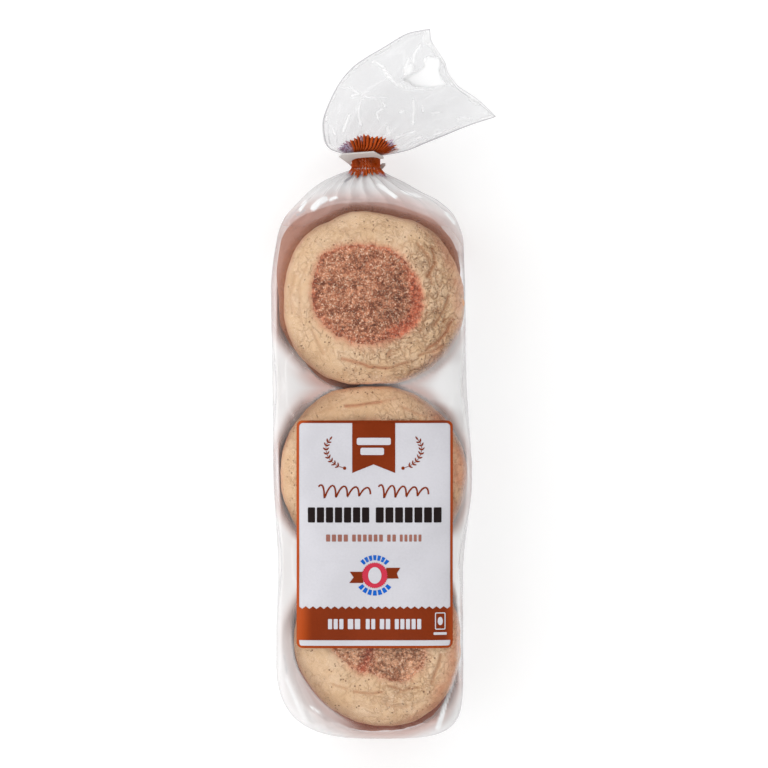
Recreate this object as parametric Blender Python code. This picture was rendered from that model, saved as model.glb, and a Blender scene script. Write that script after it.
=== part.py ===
"""A sealed clear bag of six muffins, lying on its back with the printed side up.

Three pieces: the film bag with all that it holds, the label on its front and the bread clip
round its neck. Metres, +Z up. The origin is the middle of the flat underside below the second
muffin, and +Y runs from the folded bottom end towards the gathered neck and the open tail.
"""

import math
from collections import namedtuple

import bmesh
import bpy
from mathutils import Euler, Vector

# Contents.
MUFFIN_DIAMETER = 0.090
MUFFIN_THICKNESS = 0.026
LAYERS = 2
TRAY_BOARD = 0.0006
MUFFIN_ROW = ((0.0044, -0.0840), (0.0014, 0.0014), (0.0026, 0.0900))

# Film bag.
FILM_SLACK = 0.0029
PACK_HEIGHT = LAYERS * MUFFIN_THICKNESS + TRAY_BOARD + FILM_SLACK
BOTTOM_END = -0.1322
BOTTOM_CORNER = 0.040
BOTTOM_LEFT_POWER = 2.7
BOTTOM_RIGHT_POWER = 4.7
BOTTOM_TOP_RADIUS = 0.017
BOTTOM_LOW_RADIUS = 0.007
SHOULDER = 0.105
NECK_START = 0.1565
NECK_END = 0.1625
NECK_HEIGHT = 0.0240
NECK_HALF_HEIGHT = 0.0040
NECK_LEFT = -0.0086
NECK_RIGHT = 0.0050
FILM_SAG = 0.0034
SIDE_DENT = 0.0022
PLEATS = 12
PLEAT_DEPTH = 0.0012
NECK_PLEAT_SHARE = 0.4
TAIL_WAVES = 5
TAIL_WAVE_DEPTH = 0.0019
MOUTH_BOW = 0.0063
MOUTH_DEPTH = 0.007
MOUTH_INSET = 0.84

# Label.
LABEL_LEFT = -0.0364
LABEL_RIGHT = 0.0419
LABEL_BOTTOM = -0.0854
LABEL_TOP = 0.0285
LABEL_CORNER = 0.0030
LABEL_THICKNESS = 0.0003
GAP = 0.0005

# Bread clip: a thin plate, narrower towards its foot, with a wide hole that opens to its right
# side. Its upper edge leans towards the tail.
CLIP_LEFT = -0.0146
CLIP_RIGHT = 0.0078
CLIP_WAIST_LEFT = -0.0107
CLIP_FOOT_LEFT = -0.0075
CLIP_FOOT_RIGHT = 0.0040
CLIP_TOP_RIGHT = 0.0038
CLIP_HEIGHT = 0.0205
CLIP_THICKNESS = 0.0009
CLIP_LEFT_CORNER = 0.0022
CLIP_RIGHT_CORNER = 0.0062
CLIP_HOLE_LEFT = -0.0095
CLIP_HOLE_RIGHT = 0.0060
CLIP_HOLE_HEIGHT = 0.0110
CLIP_MOUTH = 0.0056
CLIP_LEAN = math.radians(26.0)
CLIP_ROLL = math.radians(-8.0)

# Mesh density.
RING_POINTS = 4 * PLEATS
OUTLINE_SAMPLES = 240
BODY_STEP = 0.0072
SHOULDER_STEP = 0.0042
END_RINGS = 6
END_CUT = 0.84
LABEL_COLUMNS = 14
HOLE_SEGMENTS = 28

# The body's sides as seen from above: how far the film reaches left and right at each Y.
SideKey = namedtuple("SideKey", "y left right")
BODY_SIDES = (
    SideKey(BOTTOM_END, -0.0470, 0.0475),
    SideKey(-0.0820, -0.0470, 0.0475),
    SideKey(-0.0490, -0.0462, 0.0475),
    SideKey(-0.0010, -0.0485, 0.0520),
    SideKey(0.0500, -0.0492, 0.0492),
    SideKey(0.0940, -0.0498, 0.0485),
    SideKey(0.1190, -0.0470, 0.0475),
    SideKey(0.1310, -0.0427, 0.0434),
    SideKey(0.1400, -0.0345, 0.0340),
    SideKey(0.1445, -0.0300, 0.0252),
    SideKey(0.1490, -0.0240, 0.0174),
    SideKey(0.1530, -0.0165, 0.0098),
    SideKey(NECK_START, NECK_LEFT, NECK_RIGHT),
    SideKey(NECK_END, NECK_LEFT, NECK_RIGHT),
)

# The same film from the side: its underside and its top between the shoulder and the neck.
LevelKey = namedtuple("LevelKey", "y low high")
SHOULDER_LEVELS = (
    LevelKey(SHOULDER, 0.0, PACK_HEIGHT),
    LevelKey(0.1200, 0.0, PACK_HEIGHT - 0.0010),
    LevelKey(0.1310, 0.0, PACK_HEIGHT - 0.0048),
    LevelKey(0.1400, 0.0030, PACK_HEIGHT - 0.0115),
    LevelKey(0.1490, 0.0105, PACK_HEIGHT - 0.0190),
    LevelKey(NECK_START, NECK_HEIGHT - NECK_HALF_HEIGHT, NECK_HEIGHT + NECK_HALF_HEIGHT),
    LevelKey(NECK_END, NECK_HEIGHT - NECK_HALF_HEIGHT, NECK_HEIGHT + NECK_HALF_HEIGHT),
)

# The tail fans out past the clip. Each key is one cross section: its left and right ends on
# plan, the height of its middle and half its thickness.
TailKey = namedtuple("TailKey", "left_x left_y right_x right_y middle half")
TAIL_SECTIONS = (
    TailKey(NECK_LEFT, NECK_END, NECK_RIGHT, NECK_END, NECK_HEIGHT, NECK_HALF_HEIGHT),
    TailKey(-0.0150, 0.1641, 0.0118, 0.1636, 0.0240, 0.0052),
    TailKey(-0.0203, 0.1664, 0.0195, 0.1654, 0.0239, 0.0070),
    TailKey(-0.0222, 0.1700, 0.0270, 0.1687, 0.0237, 0.0090),
    TailKey(-0.0234, 0.1790, 0.0390, 0.1735, 0.0231, 0.0113),
    TailKey(-0.0190, 0.1930, 0.0490, 0.1775, 0.0222, 0.0125),
    TailKey(-0.0097, 0.2068, 0.0561, 0.1800, 0.0212, 0.0122),
    TailKey(0.0080, 0.2186, 0.0607, 0.1815, 0.0203, 0.0112),
    TailKey(0.0205, 0.2256, 0.0630, 0.1823, 0.0197, 0.0102),
    TailKey(0.0307, 0.2276, 0.0643, 0.1829, 0.0192, 0.0092),
)
TAIL_RINGS_PER_KEY = (1, 1, 1, 2, 2, 2, 2, 2, 1)


def smooth_step(low, high, value):
    """0 below low, 1 above high, and a smooth rise between them."""
    share = min(max((value - low) / (high - low), 0.0), 1.0)
    return share * share * (3.0 - 2.0 * share)


def mix(a, b, share):
    return a + (b - a) * share


def spaced(start, stop, step):
    """Even places from start up to, but not including, stop, no more than step apart."""
    count = max(1, math.ceil((stop - start) / step - 1e-9))
    return [mix(start, stop, i / count) for i in range(count)]


def knot_slopes(places, values):
    """Slopes at the knots of a curve that never overshoots its knots."""
    chords = [
        (values[i + 1] - values[i]) / (places[i + 1] - places[i])
        for i in range(len(places) - 1)
    ]
    slopes = [chords[0]]
    for before, after in zip(chords, chords[1:]):
        same_way = before * after > 0.0
        slopes.append(2.0 * before * after / (before + after) if same_way else 0.0)
    return slopes + [chords[-1]]


def smooth_through(places, values, place):
    """The value at place on a smooth curve through the knots."""
    place = min(max(place, places[0]), places[-1])
    k = 0
    while k < len(places) - 2 and place > places[k + 1]:
        k += 1
    slopes = knot_slopes(places, values)
    span = places[k + 1] - places[k]
    t = (place - places[k]) / span
    return (
        (1.0 + 2.0 * t) * (1.0 - t) ** 2 * values[k]
        + t * (1.0 - t) ** 2 * span * slopes[k]
        + t * t * (3.0 - 2.0 * t) * values[k + 1]
        + t * t * (t - 1.0) * span * slopes[k + 1]
    )


def corner_reach(y, power):
    """How much of the half width the bottom end's corner leaves at y, from 0 to 1."""
    into_corner = max(0.0, (BOTTOM_END + BOTTOM_CORNER - y) / BOTTOM_CORNER)
    return max(0.0, 1.0 - into_corner**power) ** (1.0 / power)


def side_at(y):
    """Left and right reach of the body at y, rounded off at the bottom end."""
    places = [key.y for key in BODY_SIDES]
    left = smooth_through(places, [key.left for key in BODY_SIDES], y)
    right = smooth_through(places, [key.right for key in BODY_SIDES], y)
    middle = 0.5 * (left + right)
    return (
        mix(middle, left, corner_reach(y, BOTTOM_LEFT_POWER)),
        mix(middle, right, corner_reach(y, BOTTOM_RIGHT_POWER)),
    )


def round_drop(y, radius):
    """How far a quarter round of this radius has dropped at y, near the bottom end."""
    into = min(max(BOTTOM_END + radius - y, 0.0), radius)
    return radius - math.sqrt(radius * radius - into * into)


def level_at(y):
    """Underside and top of the body at y."""
    places = [key.y for key in SHOULDER_LEVELS]
    low = smooth_through(places, [key.low for key in SHOULDER_LEVELS], y)
    high = smooth_through(places, [key.high for key in SHOULDER_LEVELS], y)
    return low + round_drop(y, BOTTOM_LOW_RADIUS), high - round_drop(y, BOTTOM_TOP_RADIUS)


def sag_at(x, y):
    """How far the film sinks where no muffin holds it up."""
    nearest = min(math.hypot(x - cx, y - cy) for cx, cy in MUFFIN_ROW)
    radius = 0.5 * MUFFIN_DIAMETER
    inside = smooth_step(-0.124, -0.110, y) * (1.0 - smooth_step(0.118, 0.132, y))
    return FILM_SAG * inside * smooth_step(0.80 * radius, 1.22 * radius, nearest)


def dent_at(y):
    """How far the sides pull in above the tray between two muffins, from 0 to 1."""
    between = [0.5 * (a[1] + b[1]) for a, b in zip(MUFFIN_ROW, MUFFIN_ROW[1:])]
    return sum(math.exp(-(((y - gap) / 0.016) ** 2)) for gap in between)


def round_outline(half_width, below, above, low_power, high_power):
    """A closed rounded outline about (0, 0), from its lowest point round to the right."""
    points = []
    for i in range(OUTLINE_SAMPLES):
        angle = 2.0 * math.pi * i / OUTLINE_SAMPLES - 0.5 * math.pi
        across = math.cos(angle)
        up = math.sin(angle)
        power = 2.0 / (low_power if up < 0.0 else high_power)
        reach = below if up < 0.0 else above
        points.append(
            (
                half_width * math.copysign(abs(across) ** power, across),
                reach * math.copysign(abs(up) ** power, up),
            )
        )
    return points


def evenly(points, count):
    """Count points at even distances along the closed outline."""
    closed = points + points[:1]
    runs = [math.dist(a, b) for a, b in zip(closed, closed[1:])]
    total = sum(runs)
    out = []
    k = 0
    passed = 0.0
    for i in range(count):
        target = total * i / count
        while passed + runs[k] < target:
            passed += runs[k]
            k += 1
        share = (target - passed) / runs[k]
        out.append((mix(closed[k][0], closed[k + 1][0], share), mix(closed[k][1], closed[k + 1][1], share)))
    return out


def body_powers(y):
    """How square the section is below and above its widest level."""
    towards_neck = smooth_step(0.118, NECK_START - 0.002, y)
    return mix(7.0, 2.0, towards_neck), mix(5.0, 2.0, towards_neck)


def widest_level(low, high):
    return mix(low, high, 0.45)


def top_height(x, y):
    """Height of the film's top at a place over the body, clear of the pleats."""
    left, right = side_at(y)
    low, high = level_at(y)
    middle = widest_level(low, high)
    power = body_powers(y)[1]
    across = abs(x - 0.5 * (left + right)) / (0.5 * (right - left))
    up = (1.0 - across**power) ** (1.0 / power)
    return middle + (high - middle) * up - sag_at(x, y) * smooth_step(0.35, 0.85, up)


def body_ring(y):
    """The bag's cross section at y, as points in world space."""
    left, right = side_at(y)
    low, high = level_at(y)
    centre = 0.5 * (left + right)
    half = 0.5 * (right - left)
    middle = widest_level(low, high)
    low_power, high_power = body_powers(y)
    outline = round_outline(half, middle - low, high - middle, low_power, high_power)
    pleat = PLEAT_DEPTH * smooth_step(0.112, 0.146, y)
    pleat *= mix(1.0, NECK_PLEAT_SHARE, smooth_step(0.150, NECK_START, y))
    flat_depth = 0.020 * (high - low)
    ring = []
    for i, (x, z) in enumerate(evenly(outline, RING_POINTS)):
        up = max(0.0, z / (high - middle))
        dent = SIDE_DENT * dent_at(y) * smooth_step(0.10, 0.40, up) * (1.0 - smooth_step(0.55, 0.80, up))
        x -= math.copysign(dent, x)
        z -= sag_at(centre + x, y) * smooth_step(0.35, 0.85, up)
        size = math.hypot(x, z)
        fold = 1.0 + pleat * math.cos(2.0 * math.pi * PLEATS * i / RING_POINTS) / size
        height = middle + z * fold
        if height < low + flat_depth:
            height = low
        ring.append(Vector((centre + x * fold, y, height)))
    return ring


def tail_ring(place):
    """The tail's cross section at a place along TAIL_SECTIONS, 0 at the neck."""
    places = list(range(len(TAIL_SECTIONS)))
    key = TailKey(*(smooth_through(places, column, place) for column in zip(*TAIL_SECTIONS)))
    left = Vector((key.left_x, key.left_y, key.middle))
    right = Vector((key.right_x, key.right_y, key.middle))
    middle = 0.5 * (left + right)
    across = (right - left).normalized()
    half = 0.5 * (right - left).length
    share = place / places[-1]
    pleat = PLEAT_DEPTH * NECK_PLEAT_SHARE * (1.0 + 2.0 * smooth_step(0.0, 0.25, share))
    pleat *= 1.0 - smooth_step(0.35, 0.9, share)
    wave = TAIL_WAVE_DEPTH * smooth_step(0.25, 0.8, share)
    towards_neck = Vector((across.y, -across.x, 0.0)) * MOUTH_BOW * smooth_step(0.3, 1.0, share)
    outline = round_outline(half, key.half, key.half, 2.0, 2.0)
    ring = []
    for i, (x, z) in enumerate(evenly(outline, RING_POINTS)):
        turn = 2.0 * math.pi * i / RING_POINTS
        fold = pleat * math.cos(PLEATS * turn) / math.hypot(x, z)
        from_edge = 1.0 - (x / half) ** 2
        up = z * (1.0 + fold) + wave * math.sin(TAIL_WAVES * turn + 2.0 * share) * from_edge
        place_in_ring = across * (x * (1.0 + fold)) + towards_neck * from_edge
        ring.append(middle + place_in_ring + Vector((0.0, 0.0, up)))
    return ring


def mouth_rings(mouth, before):
    """Two rings that sink the tail's open end a little way in."""
    centre = sum(mouth, Vector()) / len(mouth)
    inward = (sum(before, Vector()) / len(before) - centre).normalized()
    rim = [centre + (point - centre) * MOUTH_INSET for point in mouth]
    floor = [centre + (point - centre) * MOUTH_INSET * 0.8 + inward * MOUTH_DEPTH for point in mouth]
    return [rim, floor]


def body_stations():
    """The body's cross sections, close together where it curves and at the label's edges."""
    corner = [
        BOTTOM_END + BOTTOM_TOP_RADIUS * (1.0 - math.sin(0.5 * math.pi * END_CUT * (1.0 - i / END_RINGS)))
        for i in range(END_RINGS)
    ]
    return (
        corner
        + spaced(BOTTOM_END + BOTTOM_TOP_RADIUS, LABEL_BOTTOM, BODY_STEP)
        + spaced(LABEL_BOTTOM, LABEL_TOP, BODY_STEP)
        + spaced(LABEL_TOP, SHOULDER, BODY_STEP)
        + spaced(SHOULDER, NECK_START, SHOULDER_STEP)
        + spaced(NECK_START, NECK_END, NECK_END - NECK_START)
    )


def tail_places():
    places = []
    for key, count in enumerate(TAIL_RINGS_PER_KEY):
        places += [key + i / count for i in range(count)]
    return places + [len(TAIL_RINGS_PER_KEY)]


def skin(bm, rings):
    """Join the rings into one closed surface."""
    loops = [[bm.verts.new(point) for point in ring] for ring in rings]
    for near, far in zip(loops, loops[1:]):
        for i in range(len(near)):
            j = (i + 1) % len(near)
            bm.faces.new((near[i], near[j], far[j], far[i]))
    bm.faces.new(loops[0][::-1])
    bm.faces.new(loops[-1])


def finish(name, bm, material, smooth_below=math.radians(35.0)):
    """Turn the bmesh into a named object of one closed, outward piece."""
    bmesh.ops.recalc_face_normals(bm, faces=bm.faces)
    mesh = bpy.data.meshes.new(name)
    bm.to_mesh(mesh)
    bm.free()
    mesh.shade_smooth()
    mesh.set_sharp_from_angle(angle=smooth_below)
    mesh.materials.append(material)
    obj = bpy.data.objects.new(name, mesh)
    bpy.context.scene.collection.objects.link(obj)
    return obj


def material(name, colour, roughness, metallic=0.0):
    mat = bpy.data.materials.new(name)
    mat.use_nodes = True
    shader = mat.node_tree.nodes["Principled BSDF"]
    shader.inputs["Base Color"].default_value = (*colour, 1.0)
    shader.inputs["Roughness"].default_value = roughness
    shader.inputs["Metallic"].default_value = metallic
    return mat


def make_bag():
    """The film bag with the muffins and the tray in it, out to the film, as one solid."""
    tail = [tail_ring(place) for place in tail_places()]
    rings = [body_ring(y) for y in body_stations()] + tail + mouth_rings(tail[-1], tail[-3])
    bm = bmesh.new()
    skin(bm, rings)
    film = material("clear film", (0.84, 0.78, 0.73), 0.18)
    return finish("clear_bag", bm, film)


def label_rows():
    return spaced(LABEL_BOTTOM, LABEL_TOP, BODY_STEP) + [LABEL_TOP]


def make_label():
    """The printed panel, a thin skin just over the film, with round corners."""
    bm = bmesh.new()
    rows = []
    for y in label_rows():
        row = []
        for i in range(LABEL_COLUMNS + 1):
            x = mix(LABEL_LEFT, LABEL_RIGHT, i / LABEL_COLUMNS)
            row.append(bm.verts.new((x, y, top_height(x, y) + GAP)))
        rows.append(row)
    for near, far in zip(rows, rows[1:]):
        for i in range(LABEL_COLUMNS):
            bm.faces.new((near[i], near[i + 1], far[i + 1], far[i]))
    under = list(bm.faces)
    grown = bmesh.ops.extrude_face_region(bm, geom=under, use_keep_orig=True)
    raised = [v for v in grown["geom"] if isinstance(v, bmesh.types.BMVert)]
    bmesh.ops.translate(bm, verts=raised, vec=(0.0, 0.0, LABEL_THICKNESS))
    corners = [
        edge
        for edge in bm.edges
        if all(is_label_corner(vert.co) for vert in edge.verts)
    ]
    bmesh.ops.bevel(
        bm, geom=corners, offset=LABEL_CORNER, segments=4, affect="EDGES", profile=0.5, material=-1
    )
    return finish("front_label", bm, material("printed label", (0.72, 0.75, 0.82), 0.35))


def is_label_corner(place):
    """True at the label's four corners, for its upper and its lower face."""
    at_side = min(abs(place.x - LABEL_LEFT), abs(place.x - LABEL_RIGHT)) < 1e-6
    at_end = min(abs(place.y - LABEL_BOTTOM), abs(place.y - LABEL_TOP)) < 1e-6
    return at_side and at_end


def clip_outline():
    """The clip's face: a tapered plate round a wide hole with a mouth on its right."""
    half_height = 0.5 * CLIP_HEIGHT
    plate = [
        (CLIP_RIGHT, -0.5 * CLIP_MOUTH),
        (CLIP_RIGHT, -half_height + CLIP_RIGHT_CORNER),
        (CLIP_FOOT_RIGHT, -half_height),
        (CLIP_FOOT_LEFT, -half_height),
        (CLIP_WAIST_LEFT, 0.0),
        (CLIP_LEFT, half_height - CLIP_LEFT_CORNER),
        (CLIP_LEFT + CLIP_LEFT_CORNER, half_height),
        (CLIP_TOP_RIGHT, half_height),
        (CLIP_RIGHT, half_height - CLIP_RIGHT_CORNER),
        (CLIP_RIGHT, 0.5 * CLIP_MOUTH),
    ]
    radius = 0.5 * CLIP_HOLE_HEIGHT
    reach = math.sqrt(radius * radius - (0.5 * CLIP_MOUTH) ** 2)
    right_centre = CLIP_HOLE_RIGHT - reach
    opening = math.asin(0.5 * CLIP_MOUTH / radius)
    hole = []
    for i in range(HOLE_SEGMENTS + 1):
        turn = mix(opening, 2.0 * math.pi - opening, i / HOLE_SEGMENTS)
        centre = right_centre if math.cos(turn) > 0.0 else CLIP_HOLE_LEFT + radius
        hole.append((centre + radius * math.cos(turn), radius * math.sin(turn)))
    return plate + hole


def make_clip():
    """The bread clip, a thin plate standing across the neck."""
    bm = bmesh.new()
    front = [bm.verts.new((x, -0.5 * CLIP_THICKNESS, z)) for x, z in clip_outline()]
    face = bm.faces.new(front)
    grown = bmesh.ops.extrude_face_region(bm, geom=[face], use_keep_orig=True)
    raised = [v for v in grown["geom"] if isinstance(v, bmesh.types.BMVert)]
    bmesh.ops.translate(bm, verts=raised, vec=(0.0, CLIP_THICKNESS, 0.0))
    bmesh.ops.triangulate(bm, faces=bm.faces)
    clip = finish("closure_clip", bm, material("white plastic", (0.88, 0.88, 0.88), 0.4))
    clip.location = (0.0, 0.5 * (NECK_START + NECK_END), NECK_HEIGHT)
    clip.rotation_euler = (
        Euler((-CLIP_LEAN, 0.0, 0.0)).to_matrix() @ Euler((0.0, CLIP_ROLL, 0.0)).to_matrix()
    ).to_euler()
    return clip


def main():
    for obj in list(bpy.data.objects):
        bpy.data.objects.remove(obj, do_unlink=True)
    make_bag()
    make_label()
    make_clip()


main()
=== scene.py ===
"""A sealed clear bag of six english muffins: the finished looks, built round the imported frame.

It is laid out as an add-on and run as a script. Metres, +Z up, +Y towards the gathered neck.
"""

import math
from collections import namedtuple

import bmesh
import bpy
from bpy.props import FloatProperty, FloatVectorProperty, PointerProperty
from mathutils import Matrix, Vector, noise


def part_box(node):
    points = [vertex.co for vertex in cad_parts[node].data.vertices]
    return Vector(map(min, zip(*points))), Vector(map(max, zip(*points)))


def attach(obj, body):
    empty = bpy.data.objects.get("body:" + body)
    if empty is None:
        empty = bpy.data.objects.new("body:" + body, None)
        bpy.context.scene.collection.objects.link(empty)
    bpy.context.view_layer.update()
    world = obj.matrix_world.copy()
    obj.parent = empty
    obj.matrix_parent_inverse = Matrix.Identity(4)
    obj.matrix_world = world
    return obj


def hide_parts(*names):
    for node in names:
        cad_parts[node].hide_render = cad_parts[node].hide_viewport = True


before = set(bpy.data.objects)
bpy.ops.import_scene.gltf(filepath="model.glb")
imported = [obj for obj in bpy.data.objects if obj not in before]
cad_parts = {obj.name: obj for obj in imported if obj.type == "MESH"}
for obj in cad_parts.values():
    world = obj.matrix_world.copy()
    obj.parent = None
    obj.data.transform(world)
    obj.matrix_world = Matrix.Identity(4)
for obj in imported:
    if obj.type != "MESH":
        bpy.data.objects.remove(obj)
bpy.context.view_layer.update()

bl_info = {
    "name": "Bag of english muffins",
    "version": (1, 0, 0),
    "blender": (4, 5, 0),
    "location": "View3D > Sidebar > Muffin bag",
    "description": "Builds a clear bag of six english muffins with its tray, label and clip",
    "category": "Add Mesh",
}

MM = 0.001
TURN = 2.0 * math.pi

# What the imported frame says.
BAG_LOW, BAG_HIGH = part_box("clear_bag")
LABEL_LOW, LABEL_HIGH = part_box("front_label")
CLIP_LOW, CLIP_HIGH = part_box("closure_clip")
BOTTOM_END = BAG_LOW.y
PACK_HEIGHT = BAG_HIGH.z

# The film's route, repeated from the part's source.
MUFFIN_DIAMETER = 0.090
MUFFIN_THICKNESS = 0.026
MUFFIN_ROW = ((0.0044, -0.0840), (0.0014, 0.0014), (0.0026, 0.0900))
BOTTOM_START = -0.1322
BOTTOM_CORNER = 0.040
BOTTOM_LEFT_POWER = 2.7
BOTTOM_RIGHT_POWER = 4.7
BOTTOM_TOP_RADIUS = 0.017
BOTTOM_LOW_RADIUS = 0.007
SHOULDER = 0.105
NECK_START = 0.1565
NECK_END = 0.1625
NECK_HEIGHT = 0.0240
NECK_HALF_HEIGHT = 0.0040
NECK_LEFT = -0.0086
NECK_RIGHT = 0.0050
FILM_SAG = 0.0034
SIDE_DENT = 0.0022
TAIL_WAVES = 5
TAIL_WAVE_DEPTH = 0.0019
END_CUT = 0.97

SideKey = namedtuple("SideKey", "y left right")
BODY_SIDES = (
    SideKey(BOTTOM_START, -0.0470, 0.0475),
    SideKey(-0.0820, -0.0470, 0.0475),
    SideKey(-0.0490, -0.0462, 0.0475),
    SideKey(-0.0010, -0.0485, 0.0520),
    SideKey(0.0500, -0.0492, 0.0492),
    SideKey(0.0940, -0.0498, 0.0485),
    SideKey(0.1190, -0.0470, 0.0475),
    SideKey(0.1310, -0.0427, 0.0434),
    SideKey(0.1400, -0.0345, 0.0340),
    SideKey(0.1445, -0.0300, 0.0252),
    SideKey(0.1490, -0.0240, 0.0174),
    SideKey(0.1530, -0.0165, 0.0098),
    SideKey(NECK_START, NECK_LEFT, NECK_RIGHT),
    SideKey(NECK_END, NECK_LEFT, NECK_RIGHT),
)

LevelKey = namedtuple("LevelKey", "y low high")
SHOULDER_LEVELS = (
    LevelKey(SHOULDER, 0.0, PACK_HEIGHT),
    LevelKey(0.1200, 0.0, PACK_HEIGHT - 0.0010),
    LevelKey(0.1310, 0.0, PACK_HEIGHT - 0.0048),
    LevelKey(0.1400, 0.0030, PACK_HEIGHT - 0.0115),
    LevelKey(0.1490, 0.0105, PACK_HEIGHT - 0.0190),
    LevelKey(NECK_START, NECK_HEIGHT - NECK_HALF_HEIGHT, NECK_HEIGHT + NECK_HALF_HEIGHT),
    LevelKey(NECK_END, NECK_HEIGHT - NECK_HALF_HEIGHT, NECK_HEIGHT + NECK_HALF_HEIGHT),
)

TailKey = namedtuple("TailKey", "left_x left_y right_x right_y middle half")
TAIL_SECTIONS = (
    TailKey(NECK_LEFT, NECK_END, NECK_RIGHT, NECK_END, NECK_HEIGHT, NECK_HALF_HEIGHT),
    TailKey(-0.0150, 0.1641, 0.0118, 0.1636, 0.0240, 0.0052),
    TailKey(-0.0203, 0.1664, 0.0195, 0.1654, 0.0239, 0.0070),
    TailKey(-0.0222, 0.1700, 0.0270, 0.1687, 0.0237, 0.0090),
    TailKey(-0.0234, 0.1790, 0.0390, 0.1735, 0.0231, 0.0113),
    TailKey(-0.0190, 0.1930, 0.0490, 0.1775, 0.0222, 0.0125),
    TailKey(-0.0097, 0.2068, 0.0561, 0.1800, 0.0212, 0.0122),
    TailKey(0.0080, 0.2186, 0.0607, 0.1815, 0.0203, 0.0112),
    TailKey(0.0205, 0.2256, 0.0630, 0.1823, 0.0197, 0.0102),
    TailKey(0.0307, 0.2276, 0.0643, 0.1829, 0.0192, 0.0092),
)

# Film mesh.
PLEATS = 24
FILM_AROUND = 10 * PLEATS
OUTLINE_SAMPLES = 960
FILM_STEP = 0.00135
TAIL_STEPS_PER_KEY = (2, 4, 6, 12, 17, 17, 16, 11, 16)
END_FACE_RINGS = 16
END_ROUND_RINGS = 14

# Muffins.
PROFILE_POWER_OUT = 4.4
PROFILE_POWER_UP = 2.5
PROFILE_SAMPLES = 2400

# Label.
PRINT_GAP = 0.00025
PRINT_STEP = 0.00012
PRINT_GRID = 0.0015


# ------------------------------------------------------------------ settings


def colour_property(name, description, default):
    return FloatVectorProperty(
        name=name, description=description, default=default, subtype="COLOR", size=3, min=0.0, max=1.0
    )


def length_property(name, description, default):
    return FloatProperty(name=name, description=description, default=default, unit="LENGTH", precision=5)


class MuffinSettings(bpy.types.PropertyGroup):
    thickness: length_property("Thickness", "Height of one muffin", MUFFIN_THICKNESS)
    crackle_depth: length_property("Crackle depth", "Depth of the fine cracks in the crust", 0.00020)
    crust_colour: colour_property("Crust", "Pale baked crust", (0.835, 0.592, 0.386))
    toast_colour: colour_property("Toast", "The griddled patch", (0.600, 0.222, 0.115))
    scorch_colour: colour_property("Scorch", "Reddish edge of the griddled patch", (0.76, 0.140, 0.050))


class BagSettings(bpy.types.PropertyGroup):
    ripple_depth: length_property("Ripple depth", "Height of the film's soft ripples", 0.00013)
    film_tint: colour_property("Film tint", "What one layer of film lets through", (0.975, 0.975, 0.978))
    haze_colour: colour_property("Film haze", "The crumpled film's milky white", (0.88, 0.860, 0.855))
    # Painted shade and painted reflection of the muffins' colour: the reddish milk of the film beside them.
    blush_colour: colour_property(
        "Film blush", "The reddish film close beside the muffins", (0.60, 0.375, 0.325)
    )
    tray_colour: colour_property("Tray", "White paperboard", (0.90, 0.87, 0.87))
    clip_colour: colour_property("Clip", "White moulded plastic", (0.68, 0.65, 0.62))


class LabelSettings(bpy.types.PropertyGroup):
    panel_colour: colour_property("Panel", "The label's cool white ground", (0.690, 0.680, 0.722))
    print_colour: colour_property("Print", "The orange brown of border and band", (0.235, 0.030, 0.003))
    edge_colour: colour_property(
        "Print edge", "The brighter orange along the label's edge", (0.52, 0.075, 0.003)
    )
    small_print_colour: colour_property(
        "Small print", "The paler brown of the small dashes", (0.36, 0.15, 0.115)
    )
    badge_colour: colour_property("Badge", "The round pink badge", (0.66, 0.040, 0.080))
    dash_colour: colour_property("Dashes", "The blue dashes round the badge", (0.006, 0.13, 0.60))
    ink_colour: colour_property("Ink", "The near black bars", (0.012, 0.006, 0.006))


class StageSettings(bpy.types.PropertyGroup):
    floor_colour: colour_property("Floor", "The plain floor", (0.60, 0.60, 0.60))
    camera_height: length_property("Camera height", "Height of the camera over the floor", 2.025)


# ------------------------------------------------------------------ small helpers


def smooth_step(low, high, value):
    share = min(max((value - low) / (high - low), 0.0), 1.0)
    return share * share * (3.0 - 2.0 * share)


def mix(a, b, share):
    return a + (b - a) * share


def spaced(start, stop, step):
    count = max(1, math.ceil((stop - start) / step - 1e-9))
    return [mix(start, stop, i / count) for i in range(count)]


def knot_slopes(places, values):
    chords = [
        (values[i + 1] - values[i]) / (places[i + 1] - places[i]) for i in range(len(places) - 1)
    ]
    slopes = [chords[0]]
    for before, after in zip(chords, chords[1:]):
        same_way = before * after > 0.0
        slopes.append(2.0 * before * after / (before + after) if same_way else 0.0)
    return slopes + [chords[-1]]


def smooth_through(places, values, place):
    place = min(max(place, places[0]), places[-1])
    k = 0
    while k < len(places) - 2 and place > places[k + 1]:
        k += 1
    slopes = knot_slopes(places, values)
    span = places[k + 1] - places[k]
    t = (place - places[k]) / span
    return (
        (1.0 + 2.0 * t) * (1.0 - t) ** 2 * values[k]
        + t * (1.0 - t) ** 2 * span * slopes[k]
        + t * t * (3.0 - 2.0 * t) * values[k + 1]
        + t * t * (t - 1.0) * span * slopes[k + 1]
    )


def segment_distance(x, y, a, b):
    """Distance from (x, y) to the segment a-b."""
    run_x, run_y = b[0] - a[0], b[1] - a[1]
    length = run_x * run_x + run_y * run_y
    share = min(max(((x - a[0]) * run_x + (y - a[1]) * run_y) / length, 0.0), 1.0)
    return math.hypot(x - a[0] - share * run_x, y - a[1] - share * run_y)


def line_distance(x, y, points):
    return min(segment_distance(x, y, a, b) for a, b in zip(points, points[1:]))


def ripple(x, y, z, size, seed=0.0):
    """Smooth noise from about -1 to 1 with features of this size."""
    return noise.noise(Vector((x / size + seed, y / size - seed, z / size + 0.7 * seed)))


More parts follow.
